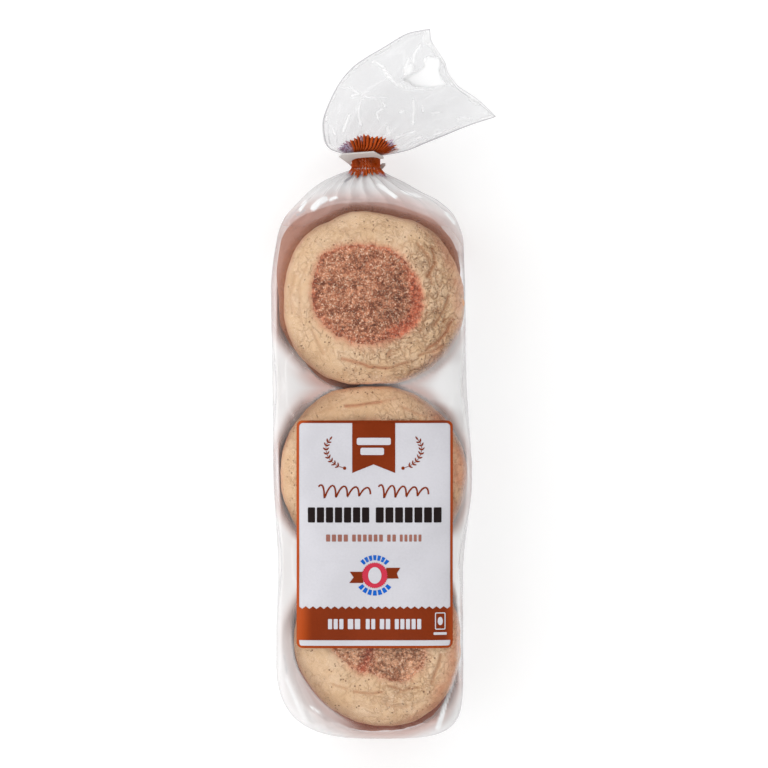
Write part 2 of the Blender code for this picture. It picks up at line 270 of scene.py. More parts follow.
def new_piece(name, bm, material, node=None, smooth=True):
    """Turn the bmesh into a piece that rides on the pack."""
    mesh = bpy.data.meshes.new(name)
    bm.to_mesh(mesh)
    bm.free()
    if smooth:
        mesh.shade_smooth()
    mesh.materials.append(material)
    piece = bpy.data.objects.new(name, mesh)
    bpy.context.scene.collection.objects.link(piece)
    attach(piece, "root")
    if node:
        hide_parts(node)
    return piece


def set_mask(mesh, name, values):
    """Store one value per vertex for the materials to read."""
    mask = mesh.attributes.new(name, "FLOAT", "POINT")
    mask.data.foreach_set("value", values)


# ------------------------------------------------------------------ material helpers


class Nodes:
    """Places and joins shader nodes in one tree."""

    def __init__(self, tree):
        self.tree = tree

    def add(self, kind, inputs=None, **settings):
        node = self.tree.nodes.new(kind)
        for key, value in settings.items():
            setattr(node, key, value)
        for key, value in (inputs or {}).items():
            self.feed(node.inputs[key], value)
        return node

    def feed(self, socket, value):
        if isinstance(value, bpy.types.NodeSocket):
            self.tree.links.new(value, socket)
        elif socket.type == "RGBA" and len(value) == 3:
            socket.default_value = (*value, 1.0)
        else:
            socket.default_value = value

    def math(self, operation, a, b=0.0, clamp=False):
        node = self.add("ShaderNodeMath", {0: a, 1: b}, operation=operation, use_clamp=clamp)
        return node.outputs[0]

    def blend(self, share, a, b, way="MIX"):
        node = self.add("ShaderNodeMix", {0: share, 6: a, 7: b}, data_type="RGBA", blend_type=way)
        return node.outputs[2]

    def between(self, value, low, high, to_low=0.0, to_high=1.0):
        node = self.add(
            "ShaderNodeMapRange",
            {0: value, 1: low, 2: high, 3: to_low, 4: to_high},
            interpolation_type="SMOOTHSTEP",
        )
        return node.outputs[0]

    def mask(self, name):
        return self.add("ShaderNodeAttribute", attribute_name=name, attribute_type="GEOMETRY").outputs["Fac"]

    def place(self):
        return self.add("ShaderNodeTexCoord").outputs["Object"]

    def noise(self, place, scale, detail=2.0, rough=0.5, twist=0.0):
        node = self.add(
            "ShaderNodeTexNoise",
            {"Vector": place, "Scale": scale, "Detail": detail, "Roughness": rough, "Distortion": twist},
        )
        return node.outputs["Fac"]

    def cells(self, place, scale, feature="F1", output="Distance"):
        node = self.add("ShaderNodeTexVoronoi", {"Vector": place, "Scale": scale}, feature=feature)
        return node.outputs[output]

    def bump(self, height, strength, distance, normal=None):
        inputs = {"Height": height, "Strength": strength, "Distance": distance}
        if normal:
            inputs["Normal"] = normal
        return self.add("ShaderNodeBump", inputs).outputs["Normal"]


def new_material(name):
    material = bpy.data.materials.new(name)
    material.use_nodes = True
    material.node_tree.nodes.clear()
    return material, Nodes(material.node_tree)


def close_material(nodes, shader):
    output = nodes.add("ShaderNodeOutputMaterial")
    nodes.tree.links.new(shader, output.inputs["Surface"])


def soft_blotches():
    """Shared group: large and small soft mottling round 0.5."""
    tree = bpy.data.node_groups.get("soft blotches")
    if tree:
        return tree
    tree = bpy.data.node_groups.new("soft blotches", "ShaderNodeTree")
    tree.interface.new_socket("Place", in_out="INPUT", socket_type="NodeSocketVector")
    for name, default in (("Large", 60.0), ("Small", 400.0)):
        socket = tree.interface.new_socket(name, in_out="INPUT", socket_type="NodeSocketFloat")
        socket.default_value = default
    tree.interface.new_socket("Mottle", in_out="OUTPUT", socket_type="NodeSocketFloat")
    nodes = Nodes(tree)
    given = nodes.add("NodeGroupInput")
    large = nodes.noise(given.outputs["Place"], given.outputs["Large"], 2.0)
    small = nodes.noise(given.outputs["Place"], given.outputs["Small"], 3.0, 0.6)
    both = nodes.math("ADD", nodes.math("MULTIPLY", large, 0.6), nodes.math("MULTIPLY", small, 0.4))
    result = nodes.add("NodeGroupOutput")
    nodes.tree.links.new(both, result.inputs["Mottle"])
    return tree


def mottle(nodes, place, large, small):
    node = nodes.add("ShaderNodeGroup", node_tree=soft_blotches())
    nodes.feed(node.inputs["Place"], place)
    node.inputs["Large"].default_value = large
    node.inputs["Small"].default_value = small
    return node.outputs["Mottle"]


# ------------------------------------------------------------------ muffins

# Each muffin's plan; the field after folds sets how strong the painted reddish shade on its rolled edge is.
MuffinPlan = namedtuple(
    "MuffinPlan",
    "name centre base outline seed fine shade patch_centre patch folds blush crescent toasting"
)

# Reach of each muffin's edge, in millimetres, every fifteen degrees from +X towards +Y.
NECK_MUFFIN_EDGE = (
    45.0, 44.4, 43.9, 44.1, 43.1, 41.9, 42.8, 44.6, 44.8, 46.4, 46.9, 45.9,
    45.6, 46.9, 47.7, 47.5, 46.9, 45.6, 43.4, 45.0, 45.8, 46.0, 46.9, 46.1,
)
MIDDLE_MUFFIN_EDGE = (
    47.0, 46.4, 45.4, 45.1, 45.0, 44.8, 44.1, 45.1, 46.6, 46.9, 47.2, 47.2,
    46.9, 47.2, 46.9, 46.2, 45.2, 43.9, 43.2, 43.9, 45.2, 46.2, 46.7, 47.0,
)
BOTTOM_MUFFIN_EDGE = (
    42.1, 42.7, 43.3, 43.0, 42.0, 41.0, 40.4, 40.9, 42.1, 42.8, 42.9, 42.5,
    42.0, 41.4, 40.1, 39.9, 40.1, 40.6, 41.6, 42.6, 43.3, 43.6, 43.3, 42.6,
)
LOWER_NECK_EDGE = (
    47.6, 48.4, 50.2, 50.0, 48.6, 47.4, 47.0, 48.2, 50.4, 53.2, 53.0, 49.8,
    48.0, 47.9, 47.4, 47.2, 49.6, 49.4, 45.0, 45.0, 45.7, 46.4, 47.2, 48.0,
)
LOWER_MIDDLE_EDGE = (
    46.2, 46.0, 45.5, 44.8, 44.2, 43.8, 43.7, 45.0, 45.6, 45.7, 46.3, 46.6,
    46.7, 46.5, 46.0, 45.2, 44.4, 43.7, 43.3, 43.6, 44.3, 45.2, 45.9, 46.2,
)
LOWER_BOTTOM_EDGE = (
    41.6, 42.3, 42.6, 42.3, 41.8, 41.2, 40.8, 41.0, 41.6, 42.2, 42.4, 42.4,
    42.3, 42.2, 42.6, 44.4, 45.6, 46.2, 45.8, 46.4, 47.6, 46.8, 43.2, 42.0,
)
NECK_PATCH = (
    27.6, 26.7, 26.0, 26.7, 26.6, 25.8, 25.9, 26.8, 28.6, 30.4, 29.4, 28.5,
    28.1, 28.0, 27.5, 26.1, 25.5, 25.6, 25.4, 25.5, 26.2, 27.5, 28.7, 28.6,
)
MIDDLE_PATCH = (
    27.0, 26.5, 26.2, 26.4, 27.0, 27.6, 27.9, 27.7, 27.2, 26.8, 26.6, 26.9,
    27.3, 27.6, 27.4, 27.0, 26.6, 26.4, 26.6, 27.0, 27.4, 27.6, 27.4, 27.2,
)
BOTTOM_PATCH = (
    24.6, 25.4, 26.2, 26.4, 26.0, 25.2, 24.6, 24.8, 25.4, 26.0, 26.0, 25.6,
    25.2, 24.6, 22.6, 21.4, 20.6, 18.6, 20.6, 23.4, 25.6, 27.0, 26.8, 25.4,
)

UPPER_BASE = 0.0268
LOWER_BASE = 0.0011
# The lower muffins' shade colours darken their crust as painted shade where they lie under the upper ones;
# the middle upper muffin's is a little darker and redder.
MUFFINS = (
    MuffinPlan("muffin_neck_end", (0.0026, 0.0904), UPPER_BASE, NECK_MUFFIN_EDGE, 3.1, True, (1.0, 1.0, 1.0),
               (-0.0014, 0.0914), NECK_PATCH, 1.0, 0.7, 1.0, (1.0, 1.0, 1.0)),
    MuffinPlan("muffin_middle", (0.0023, 0.0014), UPPER_BASE, MIDDLE_MUFFIN_EDGE, 11.7,
               True, (0.97, 0.93, 0.90),
               (0.0020, 0.0010), MIDDLE_PATCH, 0.6, 1.0, 0.5, (1.0, 1.0, 1.0)),
    MuffinPlan("muffin_bottom_end", (0.0040, -0.0839), UPPER_BASE, BOTTOM_MUFFIN_EDGE, 23.9,
               True, (1.0, 1.0, 1.0),
               (0.0050, -0.0805), BOTTOM_PATCH, 0.55, 0.9, 0.12, (1.22, 1.58, 1.75)),
    MuffinPlan("lower_muffin_neck_end", (-0.0003, 0.0925), LOWER_BASE, LOWER_NECK_EDGE, 37.3,
               False, (0.52, 0.28, 0.20),
               (0.0, 0.0925), MIDDLE_PATCH, 0.4, 0.3, 0.5, (1.0, 1.0, 1.0)),
    MuffinPlan("lower_muffin_middle", (0.0006, 0.0016), LOWER_BASE, LOWER_MIDDLE_EDGE, 49.1,
               False, (0.64, 0.40, 0.38),
               (0.0006, 0.0016), MIDDLE_PATCH, 0.4, 0.3, 0.5, (1.0, 1.0, 1.0)),
    MuffinPlan("lower_muffin_bottom_end", (0.0036, -0.0846), LOWER_BASE, LOWER_BOTTOM_EDGE, 61.3,
               False, (0.46, 0.22, 0.20),
               (0.0036, -0.0846), MIDDLE_PATCH, 0.4, 0.3, 0.5, (1.0, 1.0, 1.0)),
)


def edge_reach(radii, angle):
    """Reach at this angle on a smooth closed curve through the listed radii, in metres."""
    count = len(radii)
    place = (angle % TURN) / TURN * count
    k = int(place) % count
    t = place - int(place)
    a, b, c, d = (radii[(k + i - 1) % count] for i in range(4))
    value = 0.5 * (
        2.0 * b + (c - a) * t + (2.0 * a - 5.0 * b + 4.0 * c - d) * t * t
        + (3.0 * b - a - 3.0 * c + d) * t * t * t
    )
    return value * MM


def muffin_profile(half, radius, top_steps, low_steps):
    """Half section of a plain muffin from the middle of its top round to the middle below."""
    def quarter(sign, steps):
        raw = []
        for i in range(PROFILE_SAMPLES + 1):
            r = math.sin(0.5 * math.pi * i / PROFILE_SAMPLES)
            up = (1.0 - r**PROFILE_POWER_OUT) ** (1.0 / PROFILE_POWER_UP)
            raw.append((radius * r, sign * half * up))
        runs = [0.0]
        for a, b in zip(raw, raw[1:]):
            runs.append(runs[-1] + math.dist(a, b))
        out = []
        k = 0
        for i in range(steps + 1):
            target = runs[-1] * i / steps
            while k < len(raw) - 2 and runs[k + 1] < target:
                k += 1
            share = (target - runs[k]) / (runs[k + 1] - runs[k])
            out.append((mix(raw[k][0], raw[k + 1][0], share), mix(raw[k][1], raw[k + 1][1], share)))
        return out

    return quarter(1.0, top_steps) + quarter(-1.0, low_steps)[::-1][1:]


Mark = namedtuple("Mark", "points width depth red")
# Deep creases and pits in the upper crusts, on plan; their grooves are darkened, part crust colour and part
# painted shade.
CRUST_MARKS = {
    "muffin_neck_end": (
        Mark(((-0.0135, 0.0595), (-0.0065, 0.0578), (0.0000, 0.0553), (0.0085, 0.0552)), 0.0007, 0.0009, 0.5),
        Mark(((0.0080, 0.0548), (0.0145, 0.0560), (0.0195, 0.0580)), 0.0007, 0.0007, 0.3),
        Mark(((0.0290, 0.0640), (0.0345, 0.0680), (0.0390, 0.0735), (0.0420, 0.0790)), 0.0007, 0.0010, 0.35),
        Mark(((0.0250, 0.0610), (0.0320, 0.0630), (0.0370, 0.0665)), 0.0006, 0.0007, 0.2),
        Mark(((0.0330, 0.0760), (0.0375, 0.0830), (0.0400, 0.0910)), 0.0007, 0.0008, 0.15),
        Mark(((0.0290, 0.1010), (0.0325, 0.1080), (0.0315, 0.1150)), 0.0012, 0.0010, 0.0),
        Mark(((0.0240, 0.1170), (0.0285, 0.1120), (0.0310, 0.1040)), 0.0009, 0.0007, 0.0),
        Mark(((-0.0390, 0.0830), (-0.0395, 0.0920), (-0.0375, 0.1010)), 0.0010, 0.0006, 0.0),
        Mark(
            ((-0.0340, 0.0780), (-0.0350, 0.0870), (-0.0345, 0.0960), (-0.0310, 0.1050)), 0.0009, 0.0005,
            0.0
        ),
        Mark(((-0.0230, 0.0620), (-0.0260, 0.0680), (-0.0290, 0.0740)), 0.0009, 0.0006, 0.1),
        Mark(((-0.0130, 0.1240), (-0.0030, 0.1250), (0.0060, 0.1225)), 0.0007, 0.0004, 0.0),
    ),
    "muffin_middle": (
        Mark(((-0.0120, 0.0355), (-0.0040, 0.0362), (0.0060, 0.0380)), 0.0006, 0.0010, 0.55),
        Mark(((0.0060, 0.0380), (0.0125, 0.0392)), 0.0006, 0.0007, 0.3),
        Mark(((-0.0250, 0.0330), (-0.0180, 0.0365), (-0.0120, 0.0400)), 0.0007, 0.0004, 0.0),
        Mark(((0.0170, 0.0350), (0.0230, 0.0320), (0.0290, 0.0300)), 0.0006, 0.0006, 0.3),
    ),
    "muffin_bottom_end": (
        Mark(
            ((0.0010, -0.0830), (-0.0005, -0.0880), (-0.0015, -0.0925), (-0.0035, -0.0960)), 0.0022, 0.0016,
            0.78
        ),
        Mark(((-0.0075, -0.1075), (0.0010, -0.1085), (0.0065, -0.1078)), 0.0006, 0.0008, 0.3),
        Mark(((-0.0180, -0.1040), (-0.0110, -0.1060)), 0.0006, 0.0005, 0.2),
        Mark(((0.0100, -0.1050), (0.0175, -0.1068), (0.0245, -0.1055)), 0.0007, 0.0007, 0.1),
        Mark(((0.0060, -0.1130), (0.0140, -0.1150), (0.0200, -0.1150)), 0.0008, 0.0005, 0.0),
        Mark(((0.0310, -0.1030), (0.0345, -0.0960), (0.0360, -0.0890)), 0.0008, 0.0008, 0.3),
    ),
}


def kept_inside(place):
    """Draw a point of a lower muffin back inside the tray's walls and the film."""
    x, y, z = place
    left, right = side_at(y)
    low, high = level_at(y)
    middle = mix(low, high, 0.45)
    walled = 1.0 - smooth_step(TRAY_END - TRAY_RUN_OUT, TRAY_END - 0.008, y)
    lean = TRAY_LEAN * (1.0 - min(1.0, max(0.0, z) / TRAY_WALL))
    half = 0.5 * (right - left) - mix(FILM_ROOM, TRAY_INSET + TRAY_BOARD + TRAY_ROOM + lean, walled)
    centre = 0.5 * (left + right)
    below, above = body_powers(y)
    power = below if z < middle else above
    tall = (middle - low if z < middle else high - middle) - TRAY_ROOM
    size = ((abs(x - centre) / half) ** power + (abs(z - middle) / tall) ** power) ** (1.0 / power)
    if size <= 1.0:
        return place
    return Vector((centre + (x - centre) / size, y, middle + (z - middle) / size))


def muffin_shape(plan, settings):
    """Move the plain muffin's vertices to this muffin's own surface and return its masks."""
    marks = CRUST_MARKS.get(plan.name, ())
    half = 0.5 * settings.thickness
    radius = 0.5 * MUFFIN_DIAMETER
    crackle = settings.crackle_depth

    def shape(place):
        r = math.hypot(place.x, place.y)
        angle = math.atan2(place.y, place.x)
        level = place.z / half
        reach = edge_reach(plan.outline, angle)
        out = r / radius
        grown = r * mix(1.0, reach / radius, smooth_step(0.15, 0.85, out))
        x = plan.centre[0] + grown * math.cos(angle)
        y = plan.centre[1] + grown * math.sin(angle)
        upper = smooth_step(-0.15, 0.25, level)

        # The griddled patch lies a little lower than the puffy rim round it.
        from_patch = math.hypot(x - plan.patch_centre[0], y - plan.patch_centre[1])
        patch_angle = math.atan2(y - plan.patch_centre[1], x - plan.patch_centre[0])
        patch_reach = edge_reach(plan.patch, patch_angle)
        fray = 0.0011 * ripple(x, y, 0.0, 0.0035, plan.seed) + 0.0006 * ripple(x, y, 0.0, 0.0012, plan.seed)
        to_edge = from_patch + fray - patch_reach
        toast = 1.0 - smooth_step(-0.0022, 0.0004, to_edge)
        rightness = math.cos(patch_angle + math.radians(22.0))
        crescent = smooth_step(0.55, 0.95, rightness) * plan.crescent
        lower_glow = smooth_step(0.2, 0.9, math.cos(patch_angle + math.radians(100.0))) * plan.crescent
        band = mix(0.0022, 0.0058, crescent) + 0.0022 * lower_glow
        scorch = smooth_step(-band - 0.0020, -band * 0.60, to_edge) * (
            1.0 - smooth_step(-0.0008, 0.0018, to_edge)
        )
        scorch *= mix(0.45, 1.0, crescent) * mix(
            1.0, 0.60, lower_glow * (1.0 - crescent)
        ) * mix(0.35, 1.0, plan.crescent)
        glow = (1.0 - smooth_step(-0.0010, 0.0042, to_edge)) * smooth_step(-0.0050, 0.0, to_edge)
        toast *= upper
        scorch *= upper
        glow *= upper * mix(0.30, 0.75, max(crescent, lower_glow)) * mix(0.5, 1.0, plan.crescent)

        # The crust is smoothest to the upper left and most wrinkled to the right.
        facing_right = smooth_step(-0.25, 0.75, math.cos(angle + 0.30))
        rugged = mix(0.22, 1.0, facing_right) * plan.folds
        rugged *= 0.75 + 0.5 * ripple(x, y, 0.0, 0.016, plan.seed + 3.0)
        bare = (1.0 - toast) * (1.0 - smooth_step(0.93, 1.0, out))

        lumps = 0.00055 * ripple(x, y, place.z, 0.017, plan.seed)
        lumps += 0.00045 * ripple(x, y, place.z, 0.0062, plan.seed + 5.0) * (1.0 - 0.5 * toast)
        lumps += (0.00018 + 0.00030 * rugged) * ripple(x, y, place.z, 0.0026, plan.seed + 6.0) * (1.0 - toast)
        dip = -0.00085 * toast - 0.00045 * scorch
        swell = 0.0007 * smooth_step(0.0, 0.006, to_edge) * (1.0 - smooth_step(0.70, 0.95, out)) * upper

        # Folds that run round the muffin, with sharp valleys that are darkened as painted shade.
        warp = 0.0021 * ripple(x, y, 0.0, 0.009, plan.seed + 9.0) + 0.0008 * ripple(
            x, y, 0.0, 0.0035, plan.seed + 10.0
        )
        wave = abs(math.sin(0.5 * TURN * (grown + warp) / 0.0047))
        fold_mask = smooth_step(0.0005, 0.004, to_edge) * bare * upper
        fold_mask *= smooth_step(-0.35, 0.35, ripple(x, y, 0.0, 0.012, plan.seed + 13.0) + 0.5 * rugged - 0.2)
        folds = 0.00115 * (wave**0.6 - 0.75) * rugged * fold_mask
        valley = (1.0 - smooth_step(0.0, 0.22, wave)) * fold_mask * smooth_step(0.35, 0.8, rugged)

        # Plates of crust with cracks between them. The cracks, creases, fold valleys and mark grooves share
        # one mask that darkens the colour: part crust colour and part painted shade in the hollows.
        flat = Vector((x, y, place.z))
        cell_place = (
            flat * 190.0 + 1.0 * noise.noise_vector(flat * 140.0)
            + 0.35 * noise.noise_vector(flat * 420.0)
        )
        near, _ = noise.voronoi(cell_place)
        gap = near[1] - near[0]
        patchy = smooth_step(
            -0.30, 0.25, ripple(x, y, place.z, 0.011, plan.seed + 21.0) + 0.35 * rugged - 0.1
        )
        crack = (1.0 - smooth_step(0.0, 0.13, gap)) * patchy * bare
        grain = ripple(x, y, place.z, 0.0011, plan.seed + 31.0)
        wrinkle = abs(ripple(x, y, place.z, 0.0024, plan.seed + 33.0))
        rough = toast * (0.00030 * grain + 0.00055 * smooth_step(0.0, 0.25, wrinkle) - 0.0004)
        rough += (
            0.00010 + 0.00022 * rugged
        ) * smooth_step(0.0, 0.5, gap) * bare - crackle * (0.8 + rugged) * crack
        wander = 0.9 * ripple(x, y, 0.0, 0.009, plan.seed + 41.0)
        line = noise.noise(Vector((angle * 5.2 + wander, (grown + warp) / 0.0033, plan.seed)))
        some = smooth_step(-0.2, 0.4, ripple(x, y, 0.0, 0.013, plan.seed + 51.0) + 0.6 * rugged - 0.1)
        some *= smooth_step(0.0, 0.003, to_edge) * upper
        crease = (1.0 - smooth_step(0.0, 0.080, abs(line))) * some
        rough += (0.00015 + 0.00065 * rugged) * (
            smooth_step(0.0, 0.28, abs(line)) - 0.6
        ) * some * (1.0 - toast)
        crack = max(0.60 * crack, crease * mix(0.30, 1.0, rugged), 0.9 * valley)

        red = 0.0
        cut = 0.0
        for mark in marks if level > 0.0 else ():
            d = line_distance(x + 0.3 * warp, y - 0.3 * warp, mark.points) / mark.width
            if d < 3.0:
                groove = math.exp(-d * d)
                cut = max(cut, groove * mark.depth)
                red = max(red, mark.red * mark.red * math.exp(-0.5 * d * d))
                crack = max(crack, groove * min(0.95, mark.depth / 0.0009))
        inward = 1.0 + (lumps * 0.8 - 0.6 * crackle * crack) / radius * (1.0 - upper * (1.0 - out))
        side = smooth_step(0.86, 0.99, out)
        z = place.z + (
            lumps + dip + swell + folds + rough - cut
        ) * (1.0 if level > 0.0 else -0.5) * (1.0 - 0.5 * side)
        x = plan.centre[0] + (x - plan.centre[0]) * inward
        y = plan.centre[1] + (y - plan.centre[1]) * inward
        moved = Vector((x, y, plan.base + half + z))
        if plan.base == LOWER_BASE:
            moved = kept_inside(moved)
        edge_shade = 0.0
        # Painted shade: the rolled edge of each upper muffin turns darker and redder, widest on the side away
        # from the light. It shares one mask with the orange rim round the patch.
        if plan.fine:
            facing = smooth_step(0.25, 0.9, math.cos(angle + 0.10)) * plan.blush
            waist = smooth_step(mix(0.955, 0.74, facing), mix(1.0, 0.94, facing), out)
            edge_shade = waist * max(0.50, 1.1 * facing) * (0.8 + 0.9 * ripple(x, y, place.z, 0.006, plan.seed))
        return moved, toast, min(1.0, scorch + red), max(0.0, min(1.0, glow + edge_shade)), crack, rugged

    return shape


def scaled(colour, *factors):
    factors = factors if len(factors) == 3 else factors * 3
    return [min(1.0, c * f) for c, f in zip(colour, factors)]


def crust_material(settings, name, shade, toasting):
    material, n = new_material(name)
    place = n.place()
    toast, scorch, glow, crack, rugged = (
        n.mask(key) for key in ("toast", "scorch", "glow", "crack", "rugged")
    # The plan's shade colour darkens the crust; for the lower muffins it is painted shade.
    )
    crust = scaled(settings.crust_colour, *shade)
    toast_colour = scaled(settings.toast_colour, *toasting)
    fine = mottle(n, place, 70.0, 520.0)
    base = n.blend(
        n.between(fine, 0.36, 0.62), scaled(crust, 0.95, 0.89, 0.80), scaled(crust, 1.05, 1.06, 1.08)
    )
    # Partly painted shade: the crust is a little darker where it is most wrinkled, to the right, away from
    # the light.
    base = n.blend(n.math("MULTIPLY", rugged, 0.04), base, scaled(crust, 0.80, 0.64, 0.52))
    # Two sizes of irregular plates with broken hair cracks between them, darkened with the crack mask: part
    # crust colour and part painted shade in the cracks.
    wander = n.add("ShaderNodeTexNoise", {"Vector": place, "Scale": 120.0, "Detail": 3.0}).outputs["Color"]
    shift = n.add(
        "ShaderNodeVectorMath", {0: wander, 1: (0.0075, 0.0075, 0.0075)}, operation="MULTIPLY"
    ).outputs[0]
    twisted = n.add("ShaderNodeVectorMath", {0: place, 1: shift}, operation="ADD").outputs[0]
    wide = n.cells(twisted, 190.0, "DISTANCE_TO_EDGE")
    small = n.cells(twisted, 430.0, "DISTANCE_TO_EDGE")
    tone = n.add("ShaderNodeSeparateXYZ", {0: n.cells(twisted, 190.0, "F1", "Color")}).outputs[0]
    base = n.blend(n.math("MULTIPLY", tone, 0.5), base, scaled(crust, 0.98, 0.91, 0.80))
    more = n.math("MULTIPLY", rugged, 0.20)
    patchy = n.between(n.math("ADD", n.noise(place, 85.0, 2.0), more), 0.44, 0.62)
    patchy_small = n.between(n.math("ADD", n.noise(place, 125.0, 2.0), more), 0.56, 0.74)
    broken = n.between(n.noise(place, 330.0, 2.0), 0.38, 0.56)
    hair = n.math("MULTIPLY", n.between(wide, 0.0, 0.105, 1.0, 0.0), patchy)
    thin = n.math("MULTIPLY", n.between(small, 0.0, 0.13, 1.0, 0.0), n.math("MULTIPLY", patchy_small, broken))
    lines = n.math("MAXIMUM", n.math("MULTIPLY", hair, broken), n.math("MULTIPLY", thin, 0.70))
    lines = n.math("MULTIPLY", lines, 0.68)
    cracks_and_shade = n.math("MAXIMUM", crack, lines, clamp=True)
    visible = n.between(rugged, 0.05, 0.85, 0.50, 1.0)
    base = n.blend(
        n.math("MULTIPLY", cracks_and_shade, n.math("MULTIPLY", visible, 0.95)), base, scaled(crust, 0.50, 0.28, 0.16)
    )
    # Pores and flour specks; the pores are darkened, part own colour and part painted shade in the pits.
    pore_mask = n.between(n.noise(place, 160.0), 0.48, 0.58)
    pore = n.math("MULTIPLY", n.between(n.cells(place, 520.0), 0.14, 0.28, 1.0, 0.0), pore_mask)
    base = n.blend(pore, base, scaled(crust, 0.42, 0.28, 0.22))
    speck = n.between(
        n.math("ADD", n.noise(place, 1000.0, 2.0, 0.6), n.math("MULTIPLY", rugged, 0.05)), 0.64, 0.74
    )
    base = n.blend(n.math("MULTIPLY", speck, 0.75), base, scaled(crust, 1.22, 1.30, 1.42))
    # The orange rim round the patch, together with the painted reddish shade on the muffin's rolled edge.
    base = n.blend(n.math("MULTIPLY", glow, 0.75), base, scaled(settings.scorch_colour, 1.0, 2.3, 3.6))
    # Toasted patch: a pinkish brown skin with pale specks and short dark wrinkles; the wrinkles are part
    # toasted colour and part painted shade.
    grain = n.noise(place, 520.0, 3.0, 0.65)
    crumb = n.noise(place, 1150.0, 2.0, 0.6)
    coarse = n.noise(place, 170.0, 2.0)
    level = n.math("ADD", n.math("MULTIPLY", grain, 0.75), n.math("MULTIPLY", coarse, 0.35))
    toasted = n.blend(
        n.between(level, 0.45, 0.65), scaled(
            toast_colour, 0.66, 0.54, 0.46
        ), scaled(toast_colour, 1.24, 1.40, 1.42)
    )
    ridge = n.math("ABSOLUTE", n.math("SUBTRACT", n.noise(twisted, 390.0, 3.0, 0.6, 0.8), 0.5))
    wrinkle = n.math(
        "MULTIPLY", n.between(ridge, 0.0, 0.042, 1.0, 0.0), n.between(coarse, 0.36, 0.56, 1.0, 0.40)
    )
    toasted = n.blend(
        n.math("MULTIPLY", wrinkle, 0.90 / toasting[0] ** 3), toasted,
        scaled(toast_colour, 0.28, 0.17, 0.12)
    )
    toasted = n.blend(n.math("MULTIPLY", crack, 0.85), toasted, scaled(toast_colour, 0.34, 0.16, 0.16))
    pale = n.between(n.math("ADD", crumb, n.math("MULTIPLY", level, 0.4)), 0.78, 0.87)
    toasted = n.blend(pale, toasted, scaled(settings.toast_colour, 1.62, 2.90, 3.90))
    red_grain = n.blend(
        n.between(grain, 0.40, 0.60), scaled(
            settings.scorch_colour, 0.74, 0.66, 0.70
        ), scaled(settings.scorch_colour, 1.22, 1.70, 2.30)
    )
    # Painted shade in the short wrinkles darkens the red rim too.
    red_grain = n.blend(
        n.math("MULTIPLY", wrinkle, 0.6), red_grain, scaled(settings.scorch_colour, 0.42, 0.42, 0.55)
    )
    torn = n.math("ADD", toast, n.math("MULTIPLY", n.math("SUBTRACT", crumb, 0.5), 0.9))
    colour = n.blend(n.between(torn, 0.30, 0.62), base, toasted)
    colour = n.blend(n.math("MULTIPLY", scorch, n.between(crumb, 0.35, 0.60, 0.90, 0.62)), colour, red_grain)
    crumbs = n.math(
        "MULTIPLY", n.math("SUBTRACT", level, n.math("MULTIPLY", wrinkle, 0.5)),
        n.math("ADD", n.math("MULTIPLY", toast, 0.9), 0.10)
    )
    pits = n.math("ADD", n.math("MULTIPLY", cracks_and_shade, -0.55), n.math("MULTIPLY", pore, -0.3))
    grit = n.math(
        "MULTIPLY", n.noise(place, 620.0, 2.0, 0.6), n.math("ADD", n.math("MULTIPLY", rugged, 0.30), 0.25)
    )
    height = n.math(
        "MULTIPLY", n.math("ADD", n.math("ADD", crumbs, pits), grit), n.between(rugged, 0.1, 1.0, 0.75, 1.5)
    )
    shader = n.add(
        "ShaderNodeBsdfPrincipled",
        {
            "Base Color": colour, "Roughness": n.between(fine, 0.3, 0.7, 0.58, 0.74),
            "Normal": n.bump(height, 1.0, 0.0011)
        },
    )
    shader.inputs["Specular IOR Level"].default_value = 0.3
    close_material(n, shader.outputs[0])
    return material


def make_muffin(plan, settings, material):
    """One muffin, spun from its half section and then given its own lumps, folds and marks."""
    steps, top, low = (480, 96, 34) if plan.fine else (220, 40, 16)
    bm = bmesh.new()
    profile = muffin_profile(0.5 * settings.thickness, 0.5 * MUFFIN_DIAMETER, top, low)
    line = [bm.verts.new((r, 0.0, z)) for r, z in profile]
    edges = [bm.edges.new(pair) for pair in zip(line, line[1:])]
    bmesh.ops.spin(
        bm, geom=line + edges, cent=(0.0, 0.0, 0.0), axis=(0.0, 0.0, 1.0), dvec=(0.0, 0.0, 0.0),
        angle=TURN, steps=steps, use_merge=True, use_normal_flip=False, use_duplicate=False,
    )
    bmesh.ops.remove_doubles(bm, verts=bm.verts, dist=1e-7)
    shape = muffin_shape(plan, settings)
    masks = {"toast": [], "scorch": [], "glow": [], "crack": [], "rugged": []}
    for vert in bm.verts:
        vert.co, *values = shape(vert.co)
        for values_so_far, value in zip(masks.values(), values):
            values_so_far.append(value)
    bmesh.ops.recalc_face_normals(bm, faces=bm.faces)
    piece = new_piece(plan.name, bm, material)
    for name, values in masks.items():
        set_mask(piece.data, name, values)
    return piece


# ------------------------------------------------------------------ film

VIEWER = Vector((0.0074, 0.0467, 2.025))
PANEL_LIGHT = Vector((0.02, -0.45, 1.30))


def corner_reach(y, power):
    into_corner = max(0.0, (BOTTOM_START + BOTTOM_CORNER - y) / BOTTOM_CORNER)
    return max(0.0, 1.0 - into_corner**power) ** (1.0 / power)


def side_at(y):
    places = [key.y for key in BODY_SIDES]
    left = smooth_through(places, [key.left for key in BODY_SIDES], y)
    right = smooth_through(places, [key.right for key in BODY_SIDES], y)
    middle = 0.5 * (left + right)
    return (
        mix(middle, left, corner_reach(y, BOTTOM_LEFT_POWER)),
        mix(middle, right, corner_reach(y, BOTTOM_RIGHT_POWER)),
    )


def round_drop(y, radius):
    into = min(max(BOTTOM_START + radius - y, 0.0), radius)
    return radius - math.sqrt(radius * radius - into * into)


